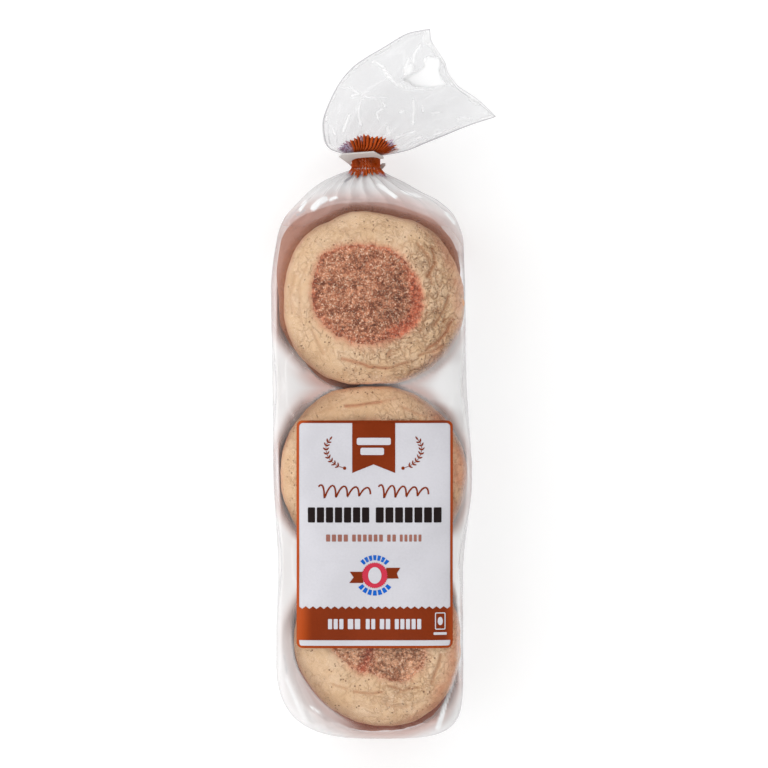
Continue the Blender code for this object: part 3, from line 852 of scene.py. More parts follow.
def level_at(y):
    places = [key.y for key in SHOULDER_LEVELS]
    low = smooth_through(places, [key.low for key in SHOULDER_LEVELS], y)
    high = smooth_through(places, [key.high for key in SHOULDER_LEVELS], y)
    return low + round_drop(y, BOTTOM_LOW_RADIUS), high - round_drop(y, BOTTOM_TOP_RADIUS)


def sag_at(x, y):
    nearest = min(math.hypot(x - cx, y - cy) for cx, cy in MUFFIN_ROW)
    radius = 0.5 * MUFFIN_DIAMETER
    inside = smooth_step(-0.124, -0.110, y) * (1.0 - smooth_step(0.118, 0.132, y))
    return FILM_SAG * inside * smooth_step(0.80 * radius, 1.22 * radius, nearest)


def dent_at(y):
    between = [0.5 * (a[1] + b[1]) for a, b in zip(MUFFIN_ROW, MUFFIN_ROW[1:])]
    return sum(math.exp(-(((y - gap) / 0.016) ** 2)) for gap in between)


def body_powers(y):
    towards_neck = smooth_step(0.118, NECK_START - 0.002, y)
    return mix(7.0, 2.0, towards_neck), mix(5.0, 2.0, towards_neck)


def round_outline(half_width, below, above, low_power, high_power, samples=OUTLINE_SAMPLES):
    points = []
    for i in range(samples):
        angle = TURN * i / samples - 0.5 * math.pi
        across, up = math.cos(angle), math.sin(angle)
        power = 2.0 / (low_power if up < 0.0 else high_power)
        reach = below if up < 0.0 else above
        points.append(
            (
                half_width * math.copysign(abs(across) ** power, across),
                reach * math.copysign(abs(up) ** power, up),
            )
        )
    return points


def evenly(points, count):
    closed = points + points[:1]
    runs = [math.dist(a, b) for a, b in zip(closed, closed[1:])]
    total = sum(runs)
    out = []
    k = 0
    passed = 0.0
    for i in range(count):
        target = total * i / count
        while passed + runs[k] < target:
            passed += runs[k]
            k += 1
        share = (target - passed) / runs[k]
        out.append((mix(closed[k][0], closed[k + 1][0], share), mix(closed[k][1], closed[k + 1][1], share)))
    return out


Crease = namedtuple("Crease", "points width height")
# Creases in the upper film, on plan: over the shoulder, the bottom end, the sides and the tail.
BODY_CREASES = (
    Crease(((-0.0400, 0.1290), (-0.0330, 0.1330), (-0.0240, 0.1385)), 0.0016, 0.0009),
    Crease(((-0.0440, 0.1200), (-0.0360, 0.1265), (-0.0300, 0.1320)), 0.0012, -0.0007),
    Crease(((-0.0250, 0.1360), (-0.0150, 0.1400), (-0.0060, 0.1440)), 0.0014, 0.0006),
    Crease(((0.0150, 0.1440), (0.0260, 0.1370), (0.0350, 0.1270)), 0.0018, 0.0007),
    Crease(((0.0475, -0.0500), (0.0465, -0.0900), (0.0380, -0.1080), (0.0320, -0.1240)), 0.0011, 0.0011),
    Crease(((-0.0400, -0.0870), (-0.0385, -0.1010), (-0.0300, -0.1230)), 0.0013, 0.0008),
    Crease(((-0.0350, -0.1000), (-0.0260, -0.1160), (-0.0200, -0.1270)), 0.0012, 0.0006),
    Crease(((-0.0430, -0.0990), (-0.0330, -0.1150), (-0.0250, -0.1270)), 0.0013, -0.0006),
    Crease(((0.0430, -0.1000), (0.0350, -0.1180), (0.0250, -0.1280)), 0.0014, -0.0006),
    Crease(((-0.0470, 0.0620), (-0.0450, 0.0450), (-0.0465, 0.0280)), 0.0014, 0.0006),
    Crease(((0.0480, 0.0640), (0.0455, 0.0460), (0.0480, 0.0260)), 0.0014, 0.0006),
    Crease(((-0.0120, 0.1500), (-0.0200, 0.1440), (-0.0330, 0.1370)), 0.0010, 0.0007),
    Crease(((0.0100, 0.1490), (0.0160, 0.1430), (0.0220, 0.1330)), 0.0010, 0.0006),
)
TAIL_CREASES = (
    Crease(
        (
            (0.0028, 0.2102), (0.0080, 0.2056), (0.0130, 0.1992), (0.0180, 0.1965), (0.0255, 0.1955),
            (0.0335, 0.1978)
        ),
        0.0013, 0.0010
    ),
    Crease(((0.0240, 0.2190), (0.0200, 0.2120), (0.0160, 0.2030)), 0.0022, -0.0012),
    Crease(((0.0300, 0.2240), (0.0225, 0.2140), (0.0215, 0.2060)), 0.0012, 0.0009),
    Crease(((0.0222, 0.1900), (0.0223, 0.1780)), 0.0008, 0.0007),
    Crease(((0.0094, 0.1760), (0.0090, 0.1725)), 0.0008, 0.0006),
    Crease(((-0.0105, 0.1820), (-0.0120, 0.1760), (-0.0135, 0.1710)), 0.0011, 0.0008),
    Crease(((-0.0130, 0.1950), (-0.0040, 0.1905), (0.0050, 0.1900)), 0.0011, 0.0006),
    Crease(((0.0050, 0.1880), (0.0080, 0.1845), (0.0105, 0.1850)), 0.0008, 0.0007),
    Crease(((0.0440, 0.1810), (0.0520, 0.1815)), 0.0011, 0.0007),
    Crease(((0.0350, 0.1880), (0.0450, 0.1860), (0.0560, 0.1850)), 0.0015, 0.0006),
    Crease(((0.0520, 0.1900), (0.0560, 0.1875)), 0.0010, 0.0008),
    Crease(((-0.0180, 0.1740), (-0.0160, 0.1700)), 0.0009, 0.0006),
)


class FlatPanel:
    """A flat facet pulled into the film, tilted so that it throws the light at the viewer."""

    def __init__(self, corners, level, light, viewer, fade):
        self.corners = corners
        self.fade = fade
        middle = Vector(
            (sum(c[0] for c in corners) / len(corners), sum(c[1] for c in corners) / len(corners), level)
        )
        self.middle = middle
        self.normal = ((light - middle).normalized() + (viewer - middle).normalized()).normalized()

    def height_at(self, x, y):
        aside, along = x - self.middle.x, y - self.middle.y
        return self.middle.z - (self.normal.x * aside + self.normal.y * along) / self.normal.z

    def share_at(self, x, y):
        inside = False
        closed = self.corners + self.corners[:1]
        for a, b in zip(closed, closed[1:]):
            if (a[1] > y) != (b[1] > y) and x < a[0] + (y - a[1]) * (b[0] - a[0]) / (b[1] - a[1]):
                inside = not inside
        if inside:
            return 1.0
        return 1.0 - smooth_step(0.0, self.fade, line_distance(x, y, closed))


def crease_rise(x, y, creases):
    rise = 0.0
    for crease in creases:
        first = crease.points[0]
        if abs(x - first[0]) > 0.06 or abs(y - first[1]) > 0.06:
            continue
        d = line_distance(x, y, crease.points) / crease.width
        if d < 3.5:
            rise += crease.height * math.exp(-d * d)
    return rise


def top_rise(x, y, depth):
    """Ripples and creases of the upper film over the muffins, on plan."""
    soft = depth * (ripple(x, y, 0.0, 0.017, 2.0) + 0.45 * ripple(x, y, 0.0, 0.0068, 4.0))
    at_ends = max(smooth_step(0.132, 0.146, y), 1.0 - smooth_step(-0.130, -0.118, y))
    soft *= 1.0 + 3.0 * at_ends
    return soft + crease_rise(x, y, BODY_CREASES)


# A tilted panel in the tail that reflects the panel light; it is also painted white as a painted highlight.
BRIGHT_PANEL = FlatPanel(
    (
        (0.0170, 0.2012), (0.0212, 0.2030), (0.0252, 0.2052), (0.0284, 0.2078), (0.0280, 0.2110),
        (0.0300, 0.2125), (0.0352, 0.2118), (0.0362, 0.2095), (0.0352, 0.2052), (0.0366, 0.2010),
        (0.0388, 0.1988), (0.0360, 0.1978), (0.0300, 0.1966), (0.0226, 0.1975),
    ),
    0.0300, PANEL_LIGHT, VIEWER, 0.0007,
)


def body_ring(y, depth):
    """The film's section at y, with its ripples, creases and pleats."""
    left, right = side_at(y)
    low, high = level_at(y)
    centre, half = 0.5 * (left + right), 0.5 * (right - left)
    middle = mix(low, high, 0.45)
    outline = round_outline(half, middle - low, high - middle, *body_powers(y))
    gather = smooth_step(0.118, 0.148, y)
    pleat = mix(0.0, 0.0011, gather) * mix(1.0, 0.2, smooth_step(0.149, 0.1545, y))
    flat_depth = 0.020 * (high - low)
    ring = []
    for i, (x, z) in enumerate(evenly(outline, FILM_AROUND)):
        up = max(0.0, z / (high - middle))
        topness = smooth_step(0.35, 0.85, up)
        dent = SIDE_DENT * dent_at(y) * smooth_step(0.10, 0.40, up) * (1.0 - smooth_step(0.55, 0.80, up))
        x -= math.copysign(dent, x)
        z -= sag_at(centre + x, y) * topness
        size = math.hypot(x, z)
        turn = TURN * i / FILM_AROUND
        fan = PLEATS * turn + 1.1 * ripple(math.cos(turn), math.sin(turn), 0.0, 0.5, 8.0)
        sharp = 1.0 - 2.0 * abs(math.sin(0.5 * fan))
        fold = 1.0 + pleat * sharp / size
        height = middle + z * fold
        if height < low + flat_depth:
            ring.append(Vector((centre + x * fold, y, low)))
            continue
        aside = smooth_step(0.25, 0.9, abs(x) / half) * (1.0 - topness) * smooth_step(
            0.02, 0.2, (height - low) / (high - low)
        )
        push = 1.5 * depth * (
            ripple(x, y, height, 0.013, 6.0) + 0.5 * ripple(x, y, height, 0.005, 7.0)
        ) * aside
        neck_calm = 1.0 - smooth_step(0.148, NECK_START, y)
        lift = top_rise(centre + x, y, depth) * topness * neck_calm
        ring.append(Vector((centre + x * fold + math.copysign(push, x) * neck_calm, y, height + lift)))
    return ring


# How far the open mouth is cut back towards the neck, from its left tip to its right one, in millimetres.
MOUTH_CUT = (0.0, 3.3, 4.0, 4.6, 6.6, 6.5, 4.8, 2.6, 1.2, 0.0)


def mouth_bow(across):
    """Cut of the mouth's edge at a place from -1 to 1 across it, in metres."""
    places = [2.0 * i / (len(MOUTH_CUT) - 1) - 1.0 for i in range(len(MOUTH_CUT))]
    return smooth_through(places, MOUTH_CUT, across) * MM


def tail_ring(place, depth):
    """The open tail's section, from 0 at the clip to the mouth."""
    places = list(range(len(TAIL_SECTIONS)))
    key = TailKey(*(smooth_through(places, column, place) for column in zip(*TAIL_SECTIONS)))
    left = Vector((key.left_x, key.left_y, key.middle))
    right = Vector((key.right_x, key.right_y, key.middle))
    middle = 0.5 * (left + right)
    across = (right - left).normalized()
    half = 0.5 * (right - left).length
    share = place / places[-1]
    pleat = 0.00024 + 0.00075 * smooth_step(0.22, 0.34, share)
    pleat *= 1.0 - smooth_step(0.34, 0.60, share)
    wave = TAIL_WAVE_DEPTH * smooth_step(0.25, 0.8, share)
    towards_neck = Vector((across.y, -across.x, 0.0)) * smooth_step(0.3, 1.0, share)
    outline = round_outline(half, key.half, key.half, 2.0, 2.0)
    ring = []
    for i, (x, z) in enumerate(evenly(outline, FILM_AROUND)):
        turn = TURN * i / FILM_AROUND
        fan = PLEATS * turn + 1.1 * ripple(math.cos(turn), math.sin(turn), 0.0, 0.5, 8.0)
        sharp = 1.0 - 2.0 * abs(math.sin(0.5 * fan))
        fold = pleat * sharp / math.hypot(x, z)
        from_edge = 1.0 - (x / half) ** 2
        up = z * (1.0 + fold) + wave * math.sin(TAIL_WAVES * turn + 2.0 * share) * from_edge
        point = (
            middle + across * (x * (1.0 + fold))
            + towards_neck * mouth_bow(x / half) + Vector((0.0, 0.0, up))
        )
        loose = smooth_step(0.1, 0.4, share) * from_edge
        side = 1.0 if z > 0.0 else -1.0
        lift = 1.0 * depth * (
            ripple(point.x, point.y, side, 0.014, 12.0) + 0.5 * ripple(point.x, point.y, side, 0.0055, 14.0)
        )
        if z > 0.0:
            lift += crease_rise(point.x, point.y, TAIL_CREASES)
        point.z += lift * loose
        if z > 0.0:
            point.z = mix(
                point.z, BRIGHT_PANEL.height_at(point.x, point.y), BRIGHT_PANEL.share_at(point.x, point.y)
            )
        ring.append(point)
    return ring


def film_rings(depth):
    """Every section of the film from the middle of the bottom end to the open mouth."""
    rounds = [
        BOTTOM_START + BOTTOM_TOP_RADIUS * (
            1.0 - math.sin(0.5 * math.pi * END_CUT * (1.0 - i / END_ROUND_RINGS))
        )
        for i in range(END_ROUND_RINGS)
    ]
    stations = (
        rounds
        + spaced(BOTTOM_START + BOTTOM_TOP_RADIUS, SHOULDER, FILM_STEP)
        + spaced(SHOULDER, NECK_START, 0.8 * FILM_STEP)
        + spaced(NECK_START, NECK_END, 0.5 * FILM_STEP)
    )
    body = [body_ring(y, depth) for y in stations]
    centre = sum(body[0], Vector()) / len(body[0])
    end_face = []
    for k in range(END_FACE_RINGS):
        share = k / END_FACE_RINGS
        ring = []
        for point in body[0]:
            spot = centre + (point - centre) * share
            spot.y = mix(BOTTOM_END, point.y, share**3)
            spot.y += 0.0012 * (1.0 - share) * abs(ripple(spot.x, 0.0, spot.z, 0.011, 17.0))
            ring.append(spot)
        end_face.append(ring)
    tail = []
    for key, count in enumerate(TAIL_STEPS_PER_KEY):
        tail += [tail_ring(key + i / count, depth) for i in range(count)]
    tail.append(tail_ring(len(TAIL_STEPS_PER_KEY), depth))
    return end_face + body + tail


def wrap_grid(rings, closed=True):
    """A grid whose rows are laid on the rings, with its seam and its pole merged."""
    around = len(rings[0]) if closed else len(rings[0]) - 1
    bm = bmesh.new()
    bmesh.ops.create_grid(bm, x_segments=around, y_segments=len(rings) - 1, size=0.5)
    for vert in bm.verts:
        column = round((vert.co.x + 0.5) * around)
        row = round((vert.co.y + 0.5) * (len(rings) - 1))
        vert.co = rings[row][column % len(rings[0])]
    bmesh.ops.remove_doubles(bm, verts=bm.verts, dist=1e-7)
    bmesh.ops.recalc_face_normals(bm, faces=bm.faces)
    return bm


def outside_muffins(place, plans):
    """How far outside the nearest of these muffins the viewer sees a place on the film.

    It is negative inside them.
    """
    waist = plans[0].base + 0.5 * MUFFIN_THICKNESS
    deeper = (VIEWER.z - waist) / (VIEWER.z - max(place[2], waist))
    x = mix(VIEWER.x, place[0], deeper)
    y = mix(VIEWER.y, place[1], deeper)
    nearest = 1.0
    for plan in plans:
        aside, along = x - plan.centre[0], y - plan.centre[1]
        reach = edge_reach(plan.outline, math.atan2(along, aside))
        nearest = min(nearest, math.hypot(aside, along) - reach)
    return nearest


Streak = namedtuple("Streak", "points width tone")
# Painted highlight streaks (positive tone) and painted grey shade in folds (negative tone) in the tail's
# film, on plan, in millimetres.
TAIL_STREAKS = (
    Streak(
        (
            (2.0, 210.6), (6.4, 207.6), (9.4, 202.6), (13.7, 198.2), (18.1, 196.7), (23.9, 196.1),
            (31.1, 196.1)
        ),
        0.55, 1.0
    ),
    Streak(((13.7, 198.2), (18.6, 198.0), (22.0, 196.8)), 0.9, 0.55),
    Streak(
        ((28.0, 225.5), (25.5, 222.0), (22.5, 216.5), (20.0, 210.0), (17.0, 203.5), (14.8, 199.5)), 1.7,
        -0.34
    ),
    Streak(((30.3, 225.4), (29.6, 221.4)), 1.9, 1.0),
    Streak(((31.0, 221.8), (30.6, 219.0)), 1.1, 0.8),
    Streak(((26.0, 219.0), (23.4, 215.2)), 0.6, 0.85),
    Streak(((22.9, 214.4), (22.3, 209.6)), 0.75, 0.75),
    Streak(((20.2, 211.6), (18.6, 208.2)), 1.0, 0.35),
    Streak(((20.0, 206.6), (20.4, 203.0)), 1.9, 0.9),
    Streak(((18.6, 207.0), (18.8, 203.6)), 1.2, 0.7),
    Streak(((6.4, 189.4), (8.0, 187.2), (6.0, 185.6), (3.6, 183.6), (4.5, 180.4)), 0.45, 0.8),
    Streak(((-8.2, 195.6), (-5.0, 193.6), (-9.0, 192.6)), 0.6, 0.5),
    Streak(((-3.8, 191.8), (2.0, 191.6), (9.0, 191.4)), 0.55, 0.35),
    Streak(((-3.9, 191.0), (-5.6, 186.0), (-5.2, 180.6), (-4.2, 177.6)), 0.7, 0.4),
    Streak(((22.4, 190.4), (22.6, 184.6), (22.1, 178.6)), 0.55, 0.8),
    Streak(((27.0, 187.6), (27.1, 184.6)), 0.6, 0.35),
    Streak(((9.4, 176.8), (9.8, 173.6)), 0.7, 0.7),
    Streak(((-10.2, 182.6), (-11.8, 178.6), (-13.4, 174.6)), 0.6, 0.75),
    Streak(((-18.8, 176.6), (-17.6, 173.6)), 0.6, 0.55),
    Streak(((15.6, 184.2), (17.4, 184.6)), 0.55, 0.8),
    Streak(((14.0, 171.4), (18.6, 173.2), (22.4, 174.4)), 0.45, 0.65),
    Streak(((45.4, 180.8), (50.4, 181.0)), 0.9, 0.75),
    Streak(((51.8, 191.6), (54.4, 190.0)), 1.4, 0.9),
    Streak(((34.0, 173.4), (36.4, 174.2)), 0.6, 0.8),
    Streak(((24.0, 171.2), (26.0, 171.8)), 0.5, 0.8),
    Streak(((31.6, 183.6), (35.6, 184.2)), 0.5, 0.5),
    Streak(((-14.6, 197.6), (-11.6, 196.8), (-8.6, 197.0)), 0.7, 0.3),
    Streak(((22.0, 191.6), (33.0, 191.4), (43.0, 192.6), (49.0, 194.4)), 1.3, -0.20),
    Streak(((28.0, 188.0), (36.0, 186.6), (44.0, 188.6)), 1.4, -0.16),
    Streak(((-4.6, 189.6), (4.0, 187.6)), 2.2, -0.10),
)
# Painted highlight streaks and painted grey shade in folds in the body's film, on plan, in millimetres.
BODY_STREAKS = (
    Streak(((4.7, 147.0), (8.4, 144.6), (12.9, 141.1)), 0.8, 0.75),
    Streak(((17.3, 143.6), (21.0, 142.4), (24.9, 141.5)), 0.7, 0.65),
    Streak(((-28.0, 135.4), (-25.4, 138.0), (-22.3, 139.9)), 1.2, 0.85),
    Streak(((-34.8, 134.0), (-33.8, 136.6), (-32.4, 138.6)), 0.8, 0.60),
    Streak(((-19.8, 139.6), (-16.8, 140.6)), 0.7, 0.50),
    Streak(((-36.2, 131.6), (-33.0, 134.0)), 0.7, -0.35),
    Streak(((-12.3, 149.2), (-8.7, 151.8)), 0.7, -0.50),
    Streak(((-15.0, 153.0), (-4.0, 151.8)), 0.8, -0.22),
    Streak(((39.0, 132.6), (42.6, 128.0)), 0.8, 0.45),
    Streak(((44.6, -47.0), (44.8, -93.9)), 0.95, 0.42),
    Streak(((44.8, -93.9), (41.6, -104.6), (38.1, -114.0), (34.4, -126.0)), 1.05, 0.55),
    Streak(((45.6, -96.4), (42.6, -106.6), (39.1, -116.0)), 1.00, -0.24),
    Streak(((-38.1, -103.4), (-34.9, -113.4), (-31.4, -121.6)), 0.90, -0.32),
    Streak(((-41.5, -101.5), (-37.0, -112.0), (-32.2, -122.7)), 1.10, 0.18),
    Streak(((-42.6, -89.9), (-41.4, -98.5)), 0.90, -0.22),
    Streak(((-29.0, -115.0), (-24.0, -118.2)), 0.60, 0.35),
)
# Width of the painted grey shade along the tail's outline, and distance of the painted white glint inside it,
# in millimetres.
TAIL_OUTLINE = 0.42
TAIL_INNER = 1.15


def tail_edge():
    """The tail's outline on plan from the clip's left end round the mouth to its right end."""
    last = TAIL_SECTIONS[-1]
    mouth = []
    for i in range(25):
        across = i / 12.0 - 1.0
        middle = (0.5 * (last.left_x + last.right_x), 0.5 * (last.left_y + last.right_y))
        run = (0.5 * (last.right_x - last.left_x), 0.5 * (last.right_y - last.left_y))
        length = math.hypot(*run)
        inward = mouth_bow(across)
        mouth.append(
            (
                middle[0] + run[0] * across + run[1] / length * inward,
                middle[1] + run[1] * across - run[0] / length * inward
            )
        )
    places = list(range(len(TAIL_SECTIONS)))
    columns = list(zip(*TAIL_SECTIONS))
    keys = [
        TailKey(
            *(smooth_through(places, column, 0.2 * i) for column in columns)
        ) for i in range(5 * len(places) - 4)
    ]
    return [(key.left_x, key.left_y) for key in keys] + mouth[1:-1] + [
        (key.right_x, key.right_y) for key in keys[::-1]
    ]


TAIL_EDGE = []


def streak_painted_light(x, y, streaks):
    """The strongest painted highlight streak at a place on plan, with the painted grey shade of the folds
    taken off.
    """
    sheen = 0.0
    for streak in streaks:
        first = streak.points[0]
        if abs(x / MM - first[0]) > 48.0 or abs(y / MM - first[1]) > 50.0:
            continue
        d = line_distance(x / MM, y / MM, streak.points) / streak.width
        if d < 2.5:
            part = streak.tone * math.exp(-d * d) * (0.85 + 0.4 * ripple(x, y, 0.0, 0.003, 81.0))
            sheen = max(sheen, part) if part > 0.0 else sheen + part
    return sheen


def tail_painted_light(x, y, facing_up):
    """Painted light on the tail's film, from -1 (painted grey shade) over 0 (clear) to 1 (painted white
    highlight).
    """
    if not TAIL_EDGE:
        TAIL_EDGE.extend(tail_edge())
    # The bright panel and the streaks are painted highlights and painted grey shade; the outline is painted
    # grey shade with a painted white glint just inside it.
    sheen = max(
        0.96 * BRIGHT_PANEL.share_at(x, y), streak_painted_light(x, y, TAIL_STREAKS)
    ) if facing_up > 0.0 else 0.0
    inside = line_distance(x, y, TAIL_EDGE) / MM
    inner = math.exp(-(((inside - TAIL_INNER) / 0.35) ** 2)) * smooth_step(
        -0.2, 0.2, ripple(x, y, 0.0, 0.005, 71.0)
    )
    outline = 1.0 - smooth_step(0.25 * TAIL_OUTLINE, 1.3 * TAIL_OUTLINE, inside)
    return mix(max(sheen, 0.6 * inner) if inner > 0.1 else sheen, -0.50, outline)


# Per-vertex film masks: the reddish one carries painted shade and reflected muffin colour, the last one
# painted highlights and painted grey shade.
FilmLook = namedtuple("FilmLook", "haze blush gloss sheen")


def film_look(place, facing_up):
    """How milky, reddish, glossy and white or grey the film is at a place.

    It is clear where it lies on the muffins and carries a painted reddish shade and painted reflection
    of their colour just beside them. It is milky white where it is crumpled, with painted highlight
    streaks and painted grey shade in its folds.
    """
    x, y, z = place
    patches = ripple(x, y, z, 0.016, 51.0)
    if y > NECK_END:
        sheen = tail_painted_light(x, y, facing_up)
        return FilmLook(min(0.92, 0.16 + 0.05 * patches + 0.74 * abs(sheen)), 0.0, 0.55, sheen)
    upper = outside_muffins(place, MUFFINS[:3])
    lower = outside_muffins(place, MUFFINS[3:])
    ends = max(smooth_step(0.128, 0.142, y), 1.0 - smooth_step(-0.124, -0.112, y))
    low_left = (1.0 - smooth_step(-0.085, -0.060, y)) * (1.0 - smooth_step(-0.020, 0.005, x))
    cloudy = smooth_step(-0.0008, mix(0.0075, 0.0028, ends), lower + 0.0012 * patches)
    milky = mix(0.0, mix(0.82, 0.86, ends), cloudy) + 0.05 * patches * cloudy
    beside = smooth_step(-0.0002, 0.0022, upper)
    foot = 1.0 - smooth_step(-0.120, -0.112, y)
    low_right = (1.0 - smooth_step(-0.100, -0.085, y)) * smooth_step(0.030, 0.038, x)
    aside_haze = mix(mix(mix(0.40, 0.12, foot), 0.66, low_left), 0.60, low_right)
    milky = max(milky, mix(0.02, aside_haze, smooth_step(0.0, mix(0.0050, 0.0015, low_left), upper)))
    crown = smooth_step(0.118, 0.130, y) * smooth_step(0.0012, 0.0046, upper)
    milky = max(milky, 0.60 * crown)
    # Painted shade and painted reflection of the muffins' colour, on the film just beside them and over the
    # narrow gaps between them.
    blush = beside * (1.0 - smooth_step(0.0005, 0.0095, lower + 0.0020 * patches))
    blush *= mix(1.0, 0.45, low_left)
    between = min(abs(y - 0.5 * (a[1] + b[1])) for a, b in zip(MUFFIN_ROW, MUFFIN_ROW[1:]))
    blush = max(
        blush, beside * (1.0 - smooth_step(0.004, 0.013, between)) * (1.0 - smooth_step(0.0, 0.012, lower))
    )
    meeting = (1.0 - smooth_step(0.004, 0.014, between)) * smooth_step(0.0, 0.0012, lower)
    milky = max(milky, 0.80 * meeting * smooth_step(0.0006, 0.0018, upper))
    gloss = mix(0.16, 1.0, max(smooth_step(0.0, 0.0022, lower), 1.0 - smooth_step(0.40, 0.80, facing_up)))
    steep = mix(0.60, 1.0, smooth_step(0.0, 0.4, facing_up))
    sheen = streak_painted_light(x, y, BODY_STREAKS) if facing_up > 0.0 else 0.0
    # Painted light: the film over the gaps on the right side is painted whiter.
    if facing_up > 0.5:
        sheen += 0.20 * (
            1.0 - smooth_step(0.008, 0.018, between)
        ) * smooth_step(0.022, 0.038, x) * (1.0 - blush)
    return FilmLook(min(0.94, milky * steep + 0.75 * abs(sheen)), blush * (1.0 - abs(sheen)), gloss, sheen)


FILM_IOR = 1.52


def film_material(settings):
    material, n = new_material("clear polythene film")
    place = n.place()
    wrinkle = n.noise(place, 85.0, 2.0, 0.5, 0.4)
    fine = n.noise(place, 330.0, 2.0, 0.5)
    height = n.math("ADD", wrinkle, n.math("MULTIPLY", fine, 0.16))
    normal = n.bump(height, 0.30, 0.0010)
    edge_on = n.add("ShaderNodeLayerWeight").outputs["Facing"]
    rim = n.between(edge_on, 0.50, 0.92)
    clear = n.add(
        "ShaderNodeBsdfTransparent", {"Color": n.blend(rim, settings.film_tint, (0.84, 0.84, 0.85))}
    )
    gloss = n.blend(rim, (1.0, 1.0, 1.0), (0.60, 0.60, 0.62))
    shine = n.add(
        "ShaderNodeBsdfPrincipled",
        {"Base Color": gloss, "Roughness": n.between(fine, 0.3, 0.7, 0.07, 0.13), "Normal": normal},
    )
    shine.inputs["Metallic"].default_value = 1.0
    # A thin film is as glossy from inside as from outside.
    behind = n.add("ShaderNodeNewGeometry").outputs["Backfacing"]
    fresnel = n.add(
        "ShaderNodeFresnel",
        {"Normal": normal, "IOR": n.between(behind, 0.0, 1.0, FILM_IOR, 1.0 / FILM_IOR)}
    )
    along = n.add("ShaderNodeSeparateXYZ", {0: place}).outputs[1]
    tail = n.between(along, 0.130, 0.165)
    # Beside the muffins the milk turns to the painted reddish shade.
    milky = n.blend(n.mask("blush"), settings.haze_colour, settings.blush_colour)
    # Painted highlights turn the milk white and painted shade turns it grey along the streaks and the tail's
    # outline.
    sheen = n.mask("sheen")
    milky = n.blend(tail, milky, (0.66, 0.66, 0.67))
    milky = n.blend(n.between(sheen, 0.0, 0.30), milky, (0.97, 0.97, 0.97))
    milky = n.blend(n.between(sheen, -0.35, 0.0, 1.0, 0.0), milky, (0.40, 0.39, 0.41))
    milk = n.add("ShaderNodeBsdfDiffuse", {"Color": milky})
    cloudy = n.add("ShaderNodeMixShader", {0: n.mask("haze"), 1: clear.outputs[0], 2: milk.outputs[0]})
    mirror = n.math("MULTIPLY", fresnel.outputs[0], n.mask("gloss"))
    skin = n.add("ShaderNodeMixShader", {0: mirror, 1: cloudy.outputs[0], 2: shine.outputs[0]})
    close_material(n, skin.outputs[0])
    return material


# ------------------------------------------------------------------ print round the neck

BUNCH_PLEATS = 44
BUNCH_AROUND = 8 * BUNCH_PLEATS
BUNCH_ROWS = 40
BUNCH_GAP = 0.0006
# From the left end of the gather to the right: how each side fans out and how far it reaches.
FanKey = namedtuple("FanKey", "across tail_turn tail_reach body_turn body_reach")
FAN = (
    FanKey(-1.0, -66.0, 0.0072, -34.0, 0.0026),
    FanKey(-0.72, -34.0, 0.0072, -18.0, 0.0034),
    FanKey(-0.45, -10.0, 0.0088, -6.0, 0.0038),
    FanKey(0.0, 4.0, 0.0086, 0.0, 0.0036),
    FanKey(0.45, 20.0, 0.0092, 12.0, 0.0030),
    FanKey(0.75, 45.0, 0.0092, 26.0, 0.0034),
    FanKey(1.0, 71.0, 0.0088, 40.0, 0.0042),
)


def tail_table():
    """The tail's sections near the clip: left end, right end, middle level and half height."""
    places = list(range(len(TAIL_SECTIONS)))
    columns = list(zip(*TAIL_SECTIONS))
    return [TailKey(*(smooth_through(places, column, 0.05 * i) for column in columns)) for i in range(90)]


def tail_level(table, x, y):
    """Middle level and half height of the tail over a place on plan."""
    for key in table:
        share = min(max((x - key.left_x) / (key.right_x - key.left_x), 0.0), 1.0)
        if mix(key.left_y, key.right_y, share) >= y:
            break
    across = 2.0 * share - 1.0
    return key.middle, key.half * math.sqrt(max(0.06, 1.0 - across * across))


def body_level(x, y):
    """Middle level and half height of the body near the neck over a place on plan."""
    left, right = side_at(y)
    low, high = level_at(y)
    middle = mix(low, high, 0.45)
    power = body_powers(y)[1]
    across = min(abs(x - 0.5 * (left + right)) / (0.5 * (right - left)), 0.97)
    return middle, (high - middle) * (1.0 - across**power) ** (1.0 / power)


